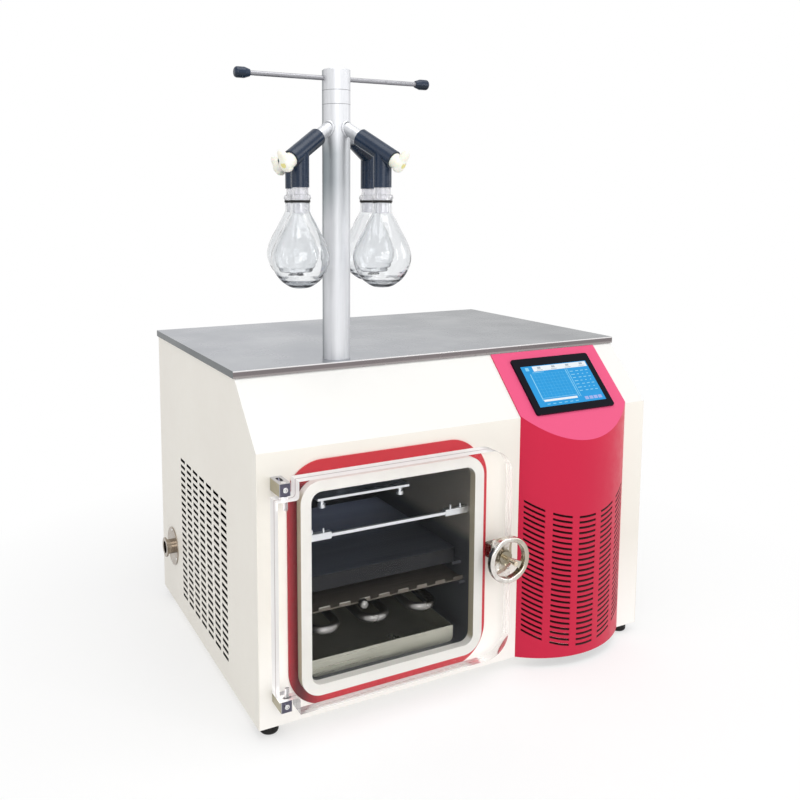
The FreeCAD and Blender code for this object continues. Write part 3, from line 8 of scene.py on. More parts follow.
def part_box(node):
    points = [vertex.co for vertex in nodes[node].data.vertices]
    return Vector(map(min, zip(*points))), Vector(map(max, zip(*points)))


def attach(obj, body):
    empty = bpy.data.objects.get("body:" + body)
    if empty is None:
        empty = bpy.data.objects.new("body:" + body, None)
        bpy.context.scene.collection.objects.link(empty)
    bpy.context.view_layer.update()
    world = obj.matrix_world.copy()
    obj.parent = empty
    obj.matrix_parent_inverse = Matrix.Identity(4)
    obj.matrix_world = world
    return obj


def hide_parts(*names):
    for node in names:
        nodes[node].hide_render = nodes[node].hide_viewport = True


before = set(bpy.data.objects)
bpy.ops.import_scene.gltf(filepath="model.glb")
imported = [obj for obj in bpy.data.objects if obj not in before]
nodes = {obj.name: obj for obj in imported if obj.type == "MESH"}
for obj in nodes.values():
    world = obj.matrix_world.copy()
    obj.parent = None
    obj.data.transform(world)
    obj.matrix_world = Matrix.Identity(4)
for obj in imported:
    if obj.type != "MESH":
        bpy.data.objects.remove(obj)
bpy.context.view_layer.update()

# The cabinet's lower left front corner in the part's frame.  Sizes below are in millimetres from
# it, and the shader masks are in metres in the part's frame.
CORNER = Vector((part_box("left_side_panel")[0].x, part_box("left_side_panel")[0].y,
                 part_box("base_pan")[0].z))
MM = 0.001
SLOPE_RISE = 552 - 452
SLOPE_RUN = 96.3
SLOPE = math.atan2(SLOPE_RISE, SLOPE_RUN)

# The manifold: four stubs slope down from the column to the valves' bends.
MANIFOLD_AXIS = (200.5, 131.0)
BEND_HEIGHT = 916.0
BEND_REACH = 96.0
STUB_DROP = math.radians(30.0)
STUB_ROOT_RISE = BEND_REACH * math.tan(STUB_DROP)
STUB_RADIUS = 10.5
COLUMN_RADIUS = 24.0
FIRST_VALVE_ANGLE = 26.4
VALVE_ANGLES = {index + 1: FIRST_VALVE_ANGLE + 90 * index for index in range(4)}

UNLIT = "#1a1a1b"


def at(x, y, z):
    """A place in the part's frame, given in millimetres from the cabinet's corner."""
    return CORNER + Vector((x, y, z)) * MM


def linear(text):
    """Hex colour as shown on a screen, turned into linear light."""
    values = [int(text[i:i + 2], 16) / 255 for i in (1, 3, 5)]
    return tuple(v / 12.92 if v <= 0.04045 else ((v + 0.055) / 1.055) ** 2.4 for v in values)


# ---------------------------------------------------------------- materials

class Paint:
    """A Principled material whose noises and masks lie in the object's own space."""

    def __init__(self, name, color, metallic=0.0, roughness=0.4):
        self.material = bpy.data.materials.new(name)
        self.material.use_nodes = True
        self.tree = self.material.node_tree
        self.shader = self.tree.nodes["Principled BSDF"]
        self.color = linear(color)
        self.shader.inputs["Base Color"].default_value = (*self.color, 1)
        self.shader.inputs["Metallic"].default_value = metallic
        self.shader.inputs["Roughness"].default_value = roughness
        texture = self.tree.nodes.new("ShaderNodeTexCoord")
        self.coords = texture.outputs["Object"]
        self.normals = texture.outputs["Normal"]
        self.normal = None

    def set(self, **values):
        for key, value in values.items():
            self.shader.inputs[key.replace("_", " ")].default_value = value

    def noise(self, scale, stretch=(1, 1, 1), detail=3.0, rough=0.55):
        mapping = self.tree.nodes.new("ShaderNodeMapping")
        mapping.inputs["Scale"].default_value = stretch
        self.tree.links.new(self.coords, mapping.inputs["Vector"])
        node = self.tree.nodes.new("ShaderNodeTexNoise")
        node.inputs["Scale"].default_value = scale
        node.inputs["Detail"].default_value = detail
        node.inputs["Roughness"].default_value = rough
        self.tree.links.new(mapping.outputs["Vector"], node.inputs["Vector"])
        return node.outputs["Fac"]

    def spread(self, source, low, high, start=0.3, stop=0.7):
        """Maps start to low and stop to high, and holds the ends."""
        node = self.tree.nodes.new("ShaderNodeMapRange")
        node.inputs["From Min"].default_value = start
        node.inputs["From Max"].default_value = stop
        node.inputs["To Min"].default_value = low
        node.inputs["To Max"].default_value = high
        self.tree.links.new(source, node.inputs["Value"])
        return node.outputs["Result"]

    def vary_roughness(self, source, low, high):
        self.tree.links.new(self.spread(source, low, high), self.shader.inputs["Roughness"])

    def blend_color(self, source, other, start=0.3, stop=0.7):
        """Blends the current base colour with another one, by a noise or mask."""
        node = self.tree.nodes.new("ShaderNodeMix")
        node.data_type = "RGBA"
        socket = self.shader.inputs["Base Color"]
        if socket.is_linked:
            self.tree.links.new(socket.links[0].from_socket, node.inputs["A"])
        else:
            node.inputs["A"].default_value = socket.default_value
        node.inputs["B"].default_value = (*linear(other), 1)
        self.tree.links.new(self.spread(source, 0, 1, start, stop), node.inputs["Factor"])
        self.tree.links.new(node.outputs["Result"], socket)

    def bump(self, source, height, strength=1.0):
        node = self.tree.nodes.new("ShaderNodeBump")
        node.inputs["Strength"].default_value = strength
        node.inputs["Distance"].default_value = height
        self.tree.links.new(source, node.inputs["Height"])
        if self.normal is not None:
            self.tree.links.new(self.normal, node.inputs["Normal"])
        self.normal = node.outputs["Normal"]
        self.tree.links.new(self.normal, self.shader.inputs["Normal"])


def facing(paint, direction):
    """How far a surface faces a direction that turns with its body, from -1 to 1."""
    node = paint.tree.nodes.new("ShaderNodeVectorMath")
    node.operation = "DOT_PRODUCT"
    node.inputs[1].default_value = Vector(direction).normalized()
    paint.tree.links.new(paint.normals, node.inputs[0])
    return node.outputs["Value"]


def ramp(paint, axis, low, high):
    """0 at one place along an axis and 1 at another, in metres."""
    split = paint.tree.nodes.new("ShaderNodeSeparateXYZ")
    paint.tree.links.new(paint.coords, split.inputs["Vector"])
    return paint.spread(split.outputs[axis], 0, 1, low, high)


def height_mask(paint, low, high):
    """0 below one height and 1 above another, in metres."""
    return ramp(paint, "Z", low, high)


def close_to(paint, place, near, far):
    """1 within one distance of a place and 0 past another, in metres."""
    node = paint.tree.nodes.new("ShaderNodeVectorMath")
    node.operation = "DISTANCE"
    node.inputs[1].default_value = place
    paint.tree.links.new(paint.coords, node.inputs[0])
    return paint.spread(node.outputs["Value"], 1, 0, near, far)


def both(paint, first, second):
    """Where two masks overlap."""
    node = paint.tree.nodes.new("ShaderNodeMath")
    node.operation = "MULTIPLY"
    paint.tree.links.new(first, node.inputs[0])
    paint.tree.links.new(second, node.inputs[1])
    return node.outputs["Value"]


def tint_side(paint, direction, color, start, stop, where=None):
    """Tints the faces that look one way, inside a mask if one is given."""
    mask = facing(paint, direction)
    if where is not None:
        mask = both(paint, where, mask)
    paint.blend_color(mask, color, start, stop)


def powder_coat(name, color, patch, rough=0.42):
    """Sprayed and baked coating: fine orange peel, faint cloudiness."""
    paint = Paint(name, color, roughness=rough)
    paint.blend_color(paint.noise(3.0, detail=2.0), patch)
    paint.vary_roughness(paint.noise(60.0), rough - 0.06, rough + 0.07)
    paint.bump(paint.noise(420.0, detail=2.0), 0.00006, 0.35)
    paint.bump(paint.noise(28.0, detail=1.0), 0.0002, 0.08)
    return paint


def shell_coat(name, inward):
    """Cream coating. Painted shade: its up-facing faces are painted a slightly darker, cooler
    cream, and its inner side is painted dark.
    """
    paint = powder_coat(name, "#ece8df", "#e7e2d9")
    tint_side(paint, (0, 0, 1), "#e3e2df", 0.25, 0.45)
    tint_side(paint, inward, UNLIT, 0.55, 0.75)
    return paint


def brushed(name, color, streaks, rough, depth, dark):
    """Brushed metal: streaks stretched along the direction with the smallest scale."""
    paint = Paint(name, color, metallic=1.0, roughness=rough)
    fine = paint.noise(1.0, streaks, detail=6.0, rough=0.7)
    paint.blend_color(fine, dark, 0.45, 1.1)
    paint.blend_color(paint.noise(5.0, detail=3.0), dark, 0.5, 1.6)
    paint.vary_roughness(paint.noise(1.0, tuple(s * 0.37 for s in streaks), detail=5.0),
                         rough - 0.07, rough + 0.12)
    paint.bump(fine, depth, 0.5)
    return paint


def polished(name, color="#dcdcdc", rough=0.07, dark="#4e4c4b"):
    """Bright metal, with the dark bands that a room lays on it by the way each face points."""
    paint = Paint(name, color, metallic=1.0, roughness=rough)
    paint.vary_roughness(paint.noise(180.0, detail=4.0), rough * 0.6, rough * 1.9)
    paint.blend_color(paint.noise(40.0, detail=4.0), "#b9b6b1", 0.55, 0.9)
    tint_side(paint, (0.25, 0.2, -1.0), dark, 0.25, 0.8)
    tint_side(paint, (-0.75, -0.35, 0.25), dark, 0.86, 1.02)
    paint.bump(paint.noise(90.0), 0.00003, 0.15)
    return paint


def clear(name, color, ior, rough, wave, passing_light=0.95):
    """Clear glass or acrylic with a trace of waviness.  Lamps shine straight through it."""
    paint = Paint(name, color, roughness=rough)
    paint.set(IOR=ior, Transmission_Weight=1.0)
    paint.bump(paint.noise(wave, detail=2.0), 0.0002, 0.12)
    path = paint.tree.nodes.new("ShaderNodeLightPath")
    passing = paint.tree.nodes.new("ShaderNodeBsdfTransparent")
    passing.inputs["Color"].default_value = (passing_light, passing_light, passing_light, 1)
    paint.mix = paint.tree.nodes.new("ShaderNodeMixShader")
    output = paint.tree.nodes["Material Output"]
    paint.tree.links.new(path.outputs["Is Shadow Ray"], paint.mix.inputs["Fac"])
    paint.tree.links.new(paint.shader.outputs["BSDF"], paint.mix.inputs[1])
    paint.tree.links.new(passing.outputs["BSDF"], paint.mix.inputs[2])
    paint.tree.links.new(paint.mix.outputs["Shader"], output.inputs["Surface"])
    return paint


def calm_mirror(paint, ior, power):
    """Clear plate with weak reflections: the mirror share is the Fresnel share to a power."""
    tree = paint.tree
    fresnel = tree.nodes.new("ShaderNodeFresnel")
    fresnel.inputs["IOR"].default_value = ior
    weaker = tree.nodes.new("ShaderNodeMath")
    weaker.operation = "POWER"
    weaker.inputs[1].default_value = power
    bend = tree.nodes.new("ShaderNodeBsdfRefraction")
    bend.inputs["IOR"].default_value = ior
    bend.inputs["Roughness"].default_value = 0.0
    mirror = tree.nodes.new("ShaderNodeBsdfAnisotropic")
    mirror.inputs["Roughness"].default_value = 0.01
    mix = tree.nodes.new("ShaderNodeMixShader")
    for node in (fresnel, bend, mirror):
        tree.links.new(paint.normal, node.inputs["Normal"])
    tree.links.new(fresnel.outputs["Fac"], weaker.inputs[0])
    tree.links.new(weaker.outputs["Value"], mix.inputs["Fac"])
    tree.links.new(bend.outputs["BSDF"], mix.inputs[1])
    tree.links.new(mirror.outputs["BSDF"], mix.inputs[2])
    return mix.outputs["Shader"]


def polished_edges(paint, share, inside, low, high):
    """Cut and polished edges of a clear plate: they scatter light, and an emission adds a painted
    glow in place of the light that the plate gathers, with a fine darker line along the middle of
    the cut.  The downward-facing cut takes the darker tone as painted shade.  The far side and
    the bottom, which are seen through the plate, stay clearer.  low and high are the plate's
    corners."""
    tree = paint.tree
    squared = both(paint, facing(paint, (0, 1, 0)), facing(paint, (0, 1, 0)))
    edge = paint.spread(squared, share, 0, 0.2, 0.75)
    clearer = 0.35
    for axis, start, stop in (("X", high.x - 0.03, high.x - 0.05),
                              ("Z", low.z + 0.02, low.z + 0.04)):
        edge = both(paint, edge, paint.spread(ramp(paint, axis, start, stop), clearer, 1, 0, 1))
    tone = tree.nodes.new("ShaderNodeMix")
    tone.data_type = "RGBA"
    tone.inputs["A"].default_value = (0.9, 0.89, 0.88, 1)
    tone.inputs["B"].default_value = (0.36, 0.27, 0.28, 1)
    middle = (low.y + high.y) / 2
    outer, inner = 0.0018, 0.0006
    fine = both(paint, ramp(paint, "Y", middle - outer, middle - inner),
                ramp(paint, "Y", middle + outer, middle + inner))
    below = paint.spread(facing(paint, (0, 0, -1)), 0, 1, 0.3, 0.8)
    darker = tree.nodes.new("ShaderNodeMath")
    darker.operation = "MAXIMUM"
    tree.links.new(paint.spread(fine, 0, 0.7, 0, 1), darker.inputs[0])
    tree.links.new(below, darker.inputs[1])
    tree.links.new(darker.outputs["Value"], tone.inputs["Factor"])
    scatter = tree.nodes.new("ShaderNodeBsdfDiffuse")
    through = tree.nodes.new("ShaderNodeBsdfTranslucent")
    painted_glow = tree.nodes.new("ShaderNodeEmission")
    painted_glow.inputs["Strength"].default_value = 0.55
    for node in (scatter, through, painted_glow):
        tree.links.new(tone.outputs["Result"], node.inputs["Color"])
    white = tree.nodes.new("ShaderNodeAddShader")
    whiter = tree.nodes.new("ShaderNodeAddShader")
    mix = tree.nodes.new("ShaderNodeMixShader")
    tree.links.new(scatter.outputs["BSDF"], white.inputs[0])
    tree.links.new(through.outputs["BSDF"], white.inputs[1])
    tree.links.new(white.outputs["Shader"], whiter.inputs[0])
    tree.links.new(painted_glow.outputs["Emission"], whiter.inputs[1])
    tree.links.new(edge, mix.inputs["Fac"])
    tree.links.new(inside, mix.inputs[1])
    tree.links.new(whiter.outputs["Shader"], mix.inputs[2])
    tree.links.new(mix.outputs["Shader"], paint.mix.inputs[1])


def glow(name, color, strength):
    """Lit screen colour with faint pixel-scale unevenness."""
    paint = Paint(name, color, roughness=0.25)
    paint.set(Specular_IOR_Level=0.12)
    paint.shader.inputs["Emission Strength"].default_value = strength
    shade = tuple(c * 0.93 for c in paint.color)
    node = paint.tree.nodes.new("ShaderNodeMix")
    node.data_type = "RGBA"
    node.inputs["A"].default_value = (*paint.color, 1)
    node.inputs["B"].default_value = (*shade, 1)
    paint.tree.links.new(paint.spread(paint.noise(90.0), 0, 1), node.inputs["Factor"])
    paint.tree.links.new(node.outputs["Result"], paint.shader.inputs["Emission Color"])
    paint.shader.inputs["Base Color"].default_value = (0.02, 0.05, 0.07, 1)
    return paint


def shade_slots(paint, name, outward):
    """The cut walls of a side panel's slots lie in shade, unlike the panel's own outer edges."""
    walls = paint.spread(facing(paint, outward), 1, 0, 0.3, 0.8)
    low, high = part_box(name)
    slope_depth = 0.1
    for axis, border in (("Y", low.y + slope_depth + 0.02), ("Z", low.z + 0.02)):
        walls = both(paint, walls, ramp(paint, axis, border, border + 0.01))
    for axis, border in (("Y", high.y - 0.02), ("Z", high.z - 0.02)):
        walls = both(paint, walls, ramp(paint, axis, border, border - 0.01))
    paint.blend_color(walls, UNLIT, 0.0, 1.0)


# Cream coated sheet

cream_left = shell_coat("cream_left", (1, 0, 0))
shade_slots(cream_left, "left_side_panel", (-1, 0, 0))
cream_right = shell_coat("cream_right", (-1, 0, 0))
shade_slots(cream_right, "right_side_panel", (1, 0, 0))
cream_front = shell_coat("cream_front", (0, 1, -0.3))
# Painted light: the front face is painted lighter towards its bottom.
painted_light_low = height_mask(cream_front, at(0, 0, 190).z, at(0, 0, 20).z)
tint_side(cream_front, (0, -1, 0), "#f9f6f1", 0.0, 1.0, painted_light_low)
cream_rear = shell_coat("cream_rear", (0, -1, 0))
cream_base = shell_coat("cream_base", (0, 0, 1))

# Red trim plate, which lies in shade left of the door's seal, and the curved red cover

red_trim = powder_coat("red_trim_coat", "#c22633", "#b9222e", 0.36)
trim_low, trim_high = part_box("door_trim")
seal_low, seal_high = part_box("door_seal")
shade = both(red_trim, ramp(red_trim, "X", trim_low.x - 0.012, seal_low.x),
             ramp(red_trim, "X", seal_low.x + 0.05, seal_low.x + 0.004))
shade = both(red_trim, shade, height_mask(red_trim, seal_high.z + 0.012, seal_high.z - 0.01))
red_trim.blend_color(shade, "#560814", 0.0, 0.95)
red_cover = powder_coat("red_cover_coat", "#cb2043", "#c21d3f", 0.36)
red_cover.set(Specular_IOR_Level=0.22)
slots_top = at(0, 0, 316).z
sloped_top = height_mask(red_cover, slots_top, slots_top + 0.02)
slotted_part = height_mask(red_cover, slots_top + 0.02, slots_top)
# Painted light: the up-facing faces of the sloped top are painted a lighter pink. Painted shade:
# the slots' cut walls and the cover's rear-facing side are painted a very dark red.
slot_shade_color = "#360a10"
tint_side(red_cover, (0, 0, 1), "#db527b", 0.45, 0.65, sloped_top)
tint_side(red_cover, (0, 0, 1), slot_shade_color, 0.3, 0.5, slotted_part)
tint_side(red_cover, (0, 0, -1), slot_shade_color, 0.3, 0.5, slotted_part)
tint_side(red_cover, (0, 1, 0), slot_shade_color, 0.3, 0.5)

# Top plate, brushed from front to back. Painted reflections and shade: it is painted darker
# towards the right and on its left and front faces. Its front edge is dark, with a painted
# lighter line below and a painted highlight above

plate = Paint("plate_steel", "#a4a7ad", metallic=1.0, roughness=0.26)
brush_lines = plate.noise(1.0, (1100.0, 6.0, 1100.0), detail=4.0, rough=0.6)
plate.blend_color(brush_lines, "#9a9da3", 0.3, 0.9)
plate.blend_color(plate.noise(9.0, detail=3.0), "#999ca4", 0.4, 0.9)
plate.vary_roughness(plate.noise(7.0, detail=4.0), 0.22, 0.33)
plate.bump(brush_lines, 0.000003, 0.5)
plate_low, plate_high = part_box("top_plate")
plate_deep = plate_high.z - plate_low.z
plate.blend_color(ramp(plate, "X", plate_low.x, plate_high.x), "#74777a", 0.2, 1.1)
tint_side(plate, (-1, 0, 0), "#53585a", 0.8, 0.97)
tint_side(plate, (0, -1, 0), "#7c7576", 0.8, 0.97)
plate_front = plate.spread(facing(plate, (0, -1, 0)), 0, 1, 0.6, 0.9)
for start, stop, tone in ((0.32, 0.2, "#9c9695"), (0.8, 0.9, "#f0eeee")):
    line = ramp(plate, "Z", plate_low.z + plate_deep * start, plate_low.z + plate_deep * stop)
    plate.blend_color(both(plate, line, plate_front), tone, 0.0, 1.0)

# Column and T-bar

column = brushed("column_steel", "#cfd0d3", (160.0, 160.0, 6.0), 0.5, 0.00002, "#a8abad")
# Painted shade: the column is painted darker in a band around the valves' height, more so on its
# left-facing side there, and its left flank, turned a little rearwards, darker all the way up.
valve_shade_band = both(column, height_mask(column, at(0, 0, 780).z, at(0, 0, 870).z),
                      height_mask(column, at(0, 0, 965).z, at(0, 0, 915).z))
column.blend_color(valve_shade_band, "#b3b6b9", 0.0, 1.2)
tint_side(column, (-1, -0.1, 0), "#868e92", 0.2, 1.1, valve_shade_band)
tint_side(column, (-0.9, 0.44, 0), "#7f8588", 0.85, 1.0)
bar_steel = brushed("bar_steel", "#97979b", (4.0, 60.0, 60.0), 0.34, 0.00001, "#86868a")

# Chamber: painted light: each wall is painted brighter above the shelf, in a tone of its own for
# each side, and the shelf's top is painted lighter, more so towards its rear

inner_steel = brushed("chamber_steel", "#4a4c50", (9.0, 9.0, 500.0), 0.4, 0.00002, "#2c2f36")
inner_steel.set(Metallic=0.4)
shelf_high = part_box("shelf")[1]
above_shelf = height_mask(inner_steel, shelf_high.z, shelf_high.z + 0.04)
for direction, tone in (((0, -1, 0), "#b9c4de"), ((0, 0, -1), "#7d828c"),
                        ((1, 0, 0), "#8e98aa"), ((-1, 0, 0), "#8a857c")):
    tint_side(inner_steel, direction, tone, 0.3, 0.9, above_shelf)
shelf_steel = brushed("shelf_steel", "#1d1e21", (6.0, 400.0, 400.0), 0.4, 0.00002, "#18191b")
shelf_steel.set(Metallic=0.6)
tint_side(shelf_steel, (0, 0, 1), "#4c5058", 0.6, 0.9)
shelf_rear = ramp(shelf_steel, "Y", shelf_high.y - 0.19, shelf_high.y - 0.04)
tint_side(shelf_steel, (0, 0, 1), "#979eae", 0.1, 1.0, shelf_rear)
rail_steel = brushed("rail_steel", "#e6e8ea", (6.0, 400.0, 400.0), 0.3, 0.00002, "#b9bcc0")
dark_steel = brushed("dark_steel", "#6b655c", (12.0, 300.0, 300.0), 0.42, 0.00002, "#47423c")
dark_steel.set(Metallic=0.6)
baffle_low, baffle_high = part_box("baffle_plate")
# Painted highlight along the front tips of the baffle's teeth.
tooth_highlight = both(dark_steel, ramp(dark_steel, "Y", baffle_low.y + 0.0016, baffle_low.y),
             ramp(dark_steel, "X", baffle_high.x, baffle_low.x + 0.06))
tooth_highlight = both(dark_steel, tooth_highlight,
             ramp(dark_steel, "Z", baffle_high.z - 0.002, baffle_high.z - 0.0008))
dark_steel.blend_color(tooth_highlight, "#b4b2a9", 0.2, 0.9)
bright_steel = brushed("bright_steel", "#b0b0a4", (8.0, 8.0, 300.0), 0.3, 0.00002, "#8b887c")
bright_steel.set(Metallic=0.8)
tube_steel = brushed("tube_steel", "#8b8a88", (20.0, 8.0, 20.0), 0.28, 0.00002, "#5f5b57")

# Polished fittings

chrome = polished("chrome")
warm_chrome = polished("warm_chrome", "#e2dcd4", 0.1, "#98917f")
wheel_chrome = brushed("wheel_chrome", "#e9e5e0", (30.0, 30.0, 30.0), 0.14, 0.00001, "#9c968b")
wheel_chrome.blend_color(wheel_chrome.noise(38.0, detail=2.0), "#918d7e", 0.5, 0.9)
# Painted reflections and shade: faces that look down to the left or to the right are painted
# dark, and the right half darker. Round the hub the colour turns darker and olive.
tint_side(wheel_chrome, (-0.8, -0.2, -0.6), "#4b4a40", 0.9, 1.02)
tint_side(wheel_chrome, (0.9, -0.1, -0.4), "#7d7863", 0.6, 1.0)
wheel_low, wheel_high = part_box("handwheel")
wheel_middle = (wheel_low + wheel_high) / 2
right_half = ramp(wheel_chrome, "X", wheel_middle.x - 0.01, wheel_high.x)
wheel_chrome.blend_color(right_half, "#a79d84", 0.0, 1.3)
wheel_hub = close_to(wheel_chrome, wheel_middle, 0.013, 0.021)
wheel_chrome.blend_color(wheel_hub, "#756a4e", 0.0, 1.3)
dull_chrome = polished("dull_chrome", "#8f8880", 0.22, "#2e2926")
port_steel = polished("port_steel", "#a09486", 0.16, "#3a302a")
hinge_steel = polished("hinge_steel", "#c9c9cf", 0.13, "#4a4640")
# Painted reflections: the left faces of the hinge blocks are painted beige and their front faces
# darker.
tint_side(hinge_steel, (-1, 0, 0), "#a7a18c", 0.75, 0.95)
tint_side(hinge_steel, (0, -1, 0), "#5f5d6b", 0.8, 0.97)
pin_steel = polished("pin_steel", "#ececee", 0.3, "#b9b7b4")
brass = polished("brass_tint", "#ddd2bd", 0.2, "#8a7446")
seam_dark = Paint("seam_dark", "#56575a", roughness=0.6)
seam_dark.vary_roughness(seam_dark.noise(200.0), 0.5, 0.7)

# Seal, acrylic and glass

seal_rubber = Paint("seal_rubber", "#dddbd6", roughness=0.55)
seal_rubber.vary_roughness(seal_rubber.noise(120.0), 0.48, 0.64)
seal_rubber.blend_color(seal_rubber.noise(9.0, detail=4.0), "#d0cdc6", 0.5, 1.0)
# Painted shade: the seal's left-facing outer side is painted a darker beige.
tint_side(seal_rubber, (-1, 0, 0), "#aba28b", 0.8, 0.97)
seal_rubber.bump(seal_rubber.noise(500.0, detail=2.0), 0.00005, 0.3)
acrylic = clear("door_acrylic", "#ffffff", 1.49, 0.008, 5.0, 0.78)
polished_edges(acrylic, 0.4, calm_mirror(acrylic, 1.49, 1.7), *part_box("door_plate"))
glass = clear("flask_glass", "#f5f6f7", 1.47, 0.0, 26.0)
glass.bump(glass.noise(1.0, (90.0, 90.0, 16.0), detail=1.0), 0.0012, 0.25)
# Painted shade: the glass is painted greyer where it is seen at a grazing angle.
grazing = glass.tree.nodes.new("ShaderNodeLayerWeight")
grazing.inputs["Blend"].default_value = 0.5
glass.blend_color(grazing.outputs["Facing"], "#cfd2d4", 0.35, 1.0)
ground_glass = clear("ground_glass", "#e9e9ec", 1.47, 0.16, 24.0)
ground_glass.set(Transmission_Weight=0.78)
ground_glass.vary_roughness(ground_glass.noise(60.0, detail=2.0), 0.08, 0.22)

# Plastics, rubbers and enamel

navy = Paint("navy_rubber", "#102238", roughness=0.3)
navy.set(Specular_IOR_Level=0.36)
# Painted shade: down-facing faces are painted darker.
tint_side(navy, (0, 0, -1), "#081826", 0.0, 0.5)
navy.blend_color(navy.noise(30.0), "#1b2c42", 0.4, 0.8)
navy.vary_roughness(navy.noise(90.0), 0.22, 0.32)
navy.bump(navy.noise(260.0), 0.00006, 0.3)
cream_knob = Paint("cream_knob", "#eeede4", roughness=0.34)
cream_knob.set(Subsurface_Weight=0.15, Subsurface_Scale=0.004)
cream_knob.blend_color(cream_knob.noise(60.0), "#e8e5d2", 0.4, 0.85)
cream_knob.vary_roughness(cream_knob.noise(140.0), 0.28, 0.42)
cream_knob.bump(cream_knob.noise(300.0), 0.00005, 0.25)
yellow_cap = Paint("yellow_cap", "#dcd48a", roughness=0.4)
yellow_cap.bump(yellow_cap.noise(260.0), 0.00005, 0.3)
black_rubber = Paint("black_rubber", "#141313", roughness=0.6)
black_rubber.set(Specular_IOR_Level=0.25)
black_rubber.blend_color(black_rubber.noise(80.0), "#2b2927", 0.45, 0.9)
black_rubber.vary_roughness(black_rubber.noise(150.0), 0.5, 0.72)
black_rubber.bump(black_rubber.noise(420.0), 0.0001, 0.4)
gloss_black = Paint("gloss_black", "#090914", roughness=0.2)
gloss_black.set(Specular_IOR_Level=0.1)
gloss_black.vary_roughness(gloss_black.noise(50.0), 0.12, 0.22)
gloss_black.bump(gloss_black.noise(200.0), 0.00002, 0.2)
enamel = Paint("machine_enamel", "#161617", roughness=0.38)
enamel.vary_roughness(enamel.noise(50.0), 0.3, 0.48)
enamel.bump(enamel.noise(200.0), 0.0001, 0.3)
moulded = Paint("moulded_black", "#1c1c1d", roughness=0.5)
moulded.vary_roughness(moulded.noise(60.0), 0.42, 0.58)
moulded.bump(moulded.noise(600.0), 0.00008, 0.3)
fins = brushed("fin_aluminium", "#54565a", (30.0, 30.0, 500.0), 0.35, 0.00003, "#2a2b2e")

# Screen colours

screen_blue = glow("screen_blue", "#0095dc", 0.95)
screen_pale = glow("screen_pale", "#8bd3f5", 0.95)
screen_white = glow("screen_white", "#f4f6f8", 0.95)
screen_lilac = glow("screen_lilac", "#a9b6f0", 0.9)
screen_grey = glow("screen_grey", "#b4bac2", 0.9)
screen_grid = glow("screen_grid", "#4db6ea", 0.95)

NODE_PAINTS = {
    cream_left: ["left_side_panel"],
    cream_right: ["right_side_panel"],
    cream_front: ["front_panel"],
    cream_rear: ["rear_panel"],
    cream_base: ["base_pan"],
    red_trim: ["door_trim"],
    red_cover: ["control_cover"],
    plate: ["top_plate"],
    column: ["manifold_column", "column_collar", "handle_head"],
    bar_steel: ["t_bar"],
    inner_steel: ["chamber", "press_rod"],
    shelf_steel: ["shelf"],
    rail_steel: ["press_plate", "press_posts", "cross_bar"],
    dark_steel: ["baffle_plate"],
    bright_steel: ["drip_tray"],
    tube_steel: ["condenser_coil", "baffle_knob"],
    hinge_steel: ["upper_hinge_block", "lower_hinge_block"],
    pin_steel: ["hinge_pins"],
    dull_chrome: ["latch_block"],
    warm_chrome: ["latch_bush"],
    wheel_chrome: ["handwheel"],
    port_steel: ["vacuum_port", "port_escutcheon"],
    brass: ["latch_spindle"],
    seal_rubber: ["door_seal"],
    acrylic: ["door_plate"],
    ground_glass: ["flask_adapter_1", "flask_adapter_2", "flask_adapter_3", "flask_adapter_4"],
    glass: ["flask_1", "flask_2", "flask_3", "flask_4"],
    navy: ["valve_body_1", "valve_body_2", "valve_body_3", "valve_body_4", "left_grip",
           "right_grip"],
    cream_knob: ["valve_plug_1", "valve_plug_2", "valve_plug_3", "valve_plug_4"],
    black_rubber: ["rubber_feet", "flask_o_rings"],
    gloss_black: ["screen_bezel"],
    screen_blue: ["screen_display"],
    enamel: ["compressor", "fan_motor"],
    fins: ["radiator"],
    moulded: ["fan_blades", "power_inlet"],
}
for paint, names in NODE_PAINTS.items():
    for name in names:
        mesh = nodes[name].data
        mesh.materials.clear()
        mesh.materials.append(paint.material)

# Widths of the small round edges on metal, plastic and acrylic pieces, in millimetres
EDGES = {
    "left_side_panel": 0.4, "right_side_panel": 0.4, "rear_panel": 0.4,
    "top_plate": 0.6, "door_trim": 0.6, "door_seal": 2.2, "door_plate": 1.6,
    "upper_hinge_block": 0.9, "lower_hinge_block": 0.9, "latch_block": 1.0, "latch_bush": 0.7,
    "handwheel": 2.0, "t_bar": 0.6, "column_collar": 0.5, "handle_head": 0.9,
    "screen_bezel": 1.4, "shelf": 0.8, "drip_tray": 0.5, "cross_bar": 0.7, "press_plate": 0.7,
    "port_escutcheon": 0.7, "baffle_plate": 0.4, "power_inlet": 0.5, "compressor": 2.0,
    "valve_body_1": 0.9, "valve_body_2": 0.9, "valve_body_3": 0.9, "valve_body_4": 0.9,
}


def soften(item, width, angle=30.0):
    """Smooth shading, with a narrow round edge wherever two faces meet at an angle."""
    item.data.shade_smooth()
    item.data.set_sharp_from_angle(angle=math.radians(angle))
    if not width:
        return
    bevel = item.modifiers.new("edges", "BEVEL")
    bevel.width = width * MM
    bevel.segments = 3
    bevel.limit_method = "ANGLE"
    bevel.angle_limit = math.radians(angle)
    bevel.harden_normals = True


for name, item in nodes.items():
    soften(item, EDGES.get(name, 0))


# ---------------------------------------------------------------- mesh helpers

def piece(name, mesh, paint, body):
    """A visual piece that rides on one body."""
    item = bpy.data.objects.new(name, mesh)
    bpy.context.scene.collection.objects.link(item)
    mesh.materials.append(paint.material)
    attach(item, body)
    return item


def finish_mesh(bm, mesh):
    """Writes a closed smooth mesh with its faces turned outwards."""
    bmesh.ops.recalc_face_normals(bm, faces=bm.faces)
    bm.to_mesh(mesh)
    bm.free()
    mesh.shade_smooth()


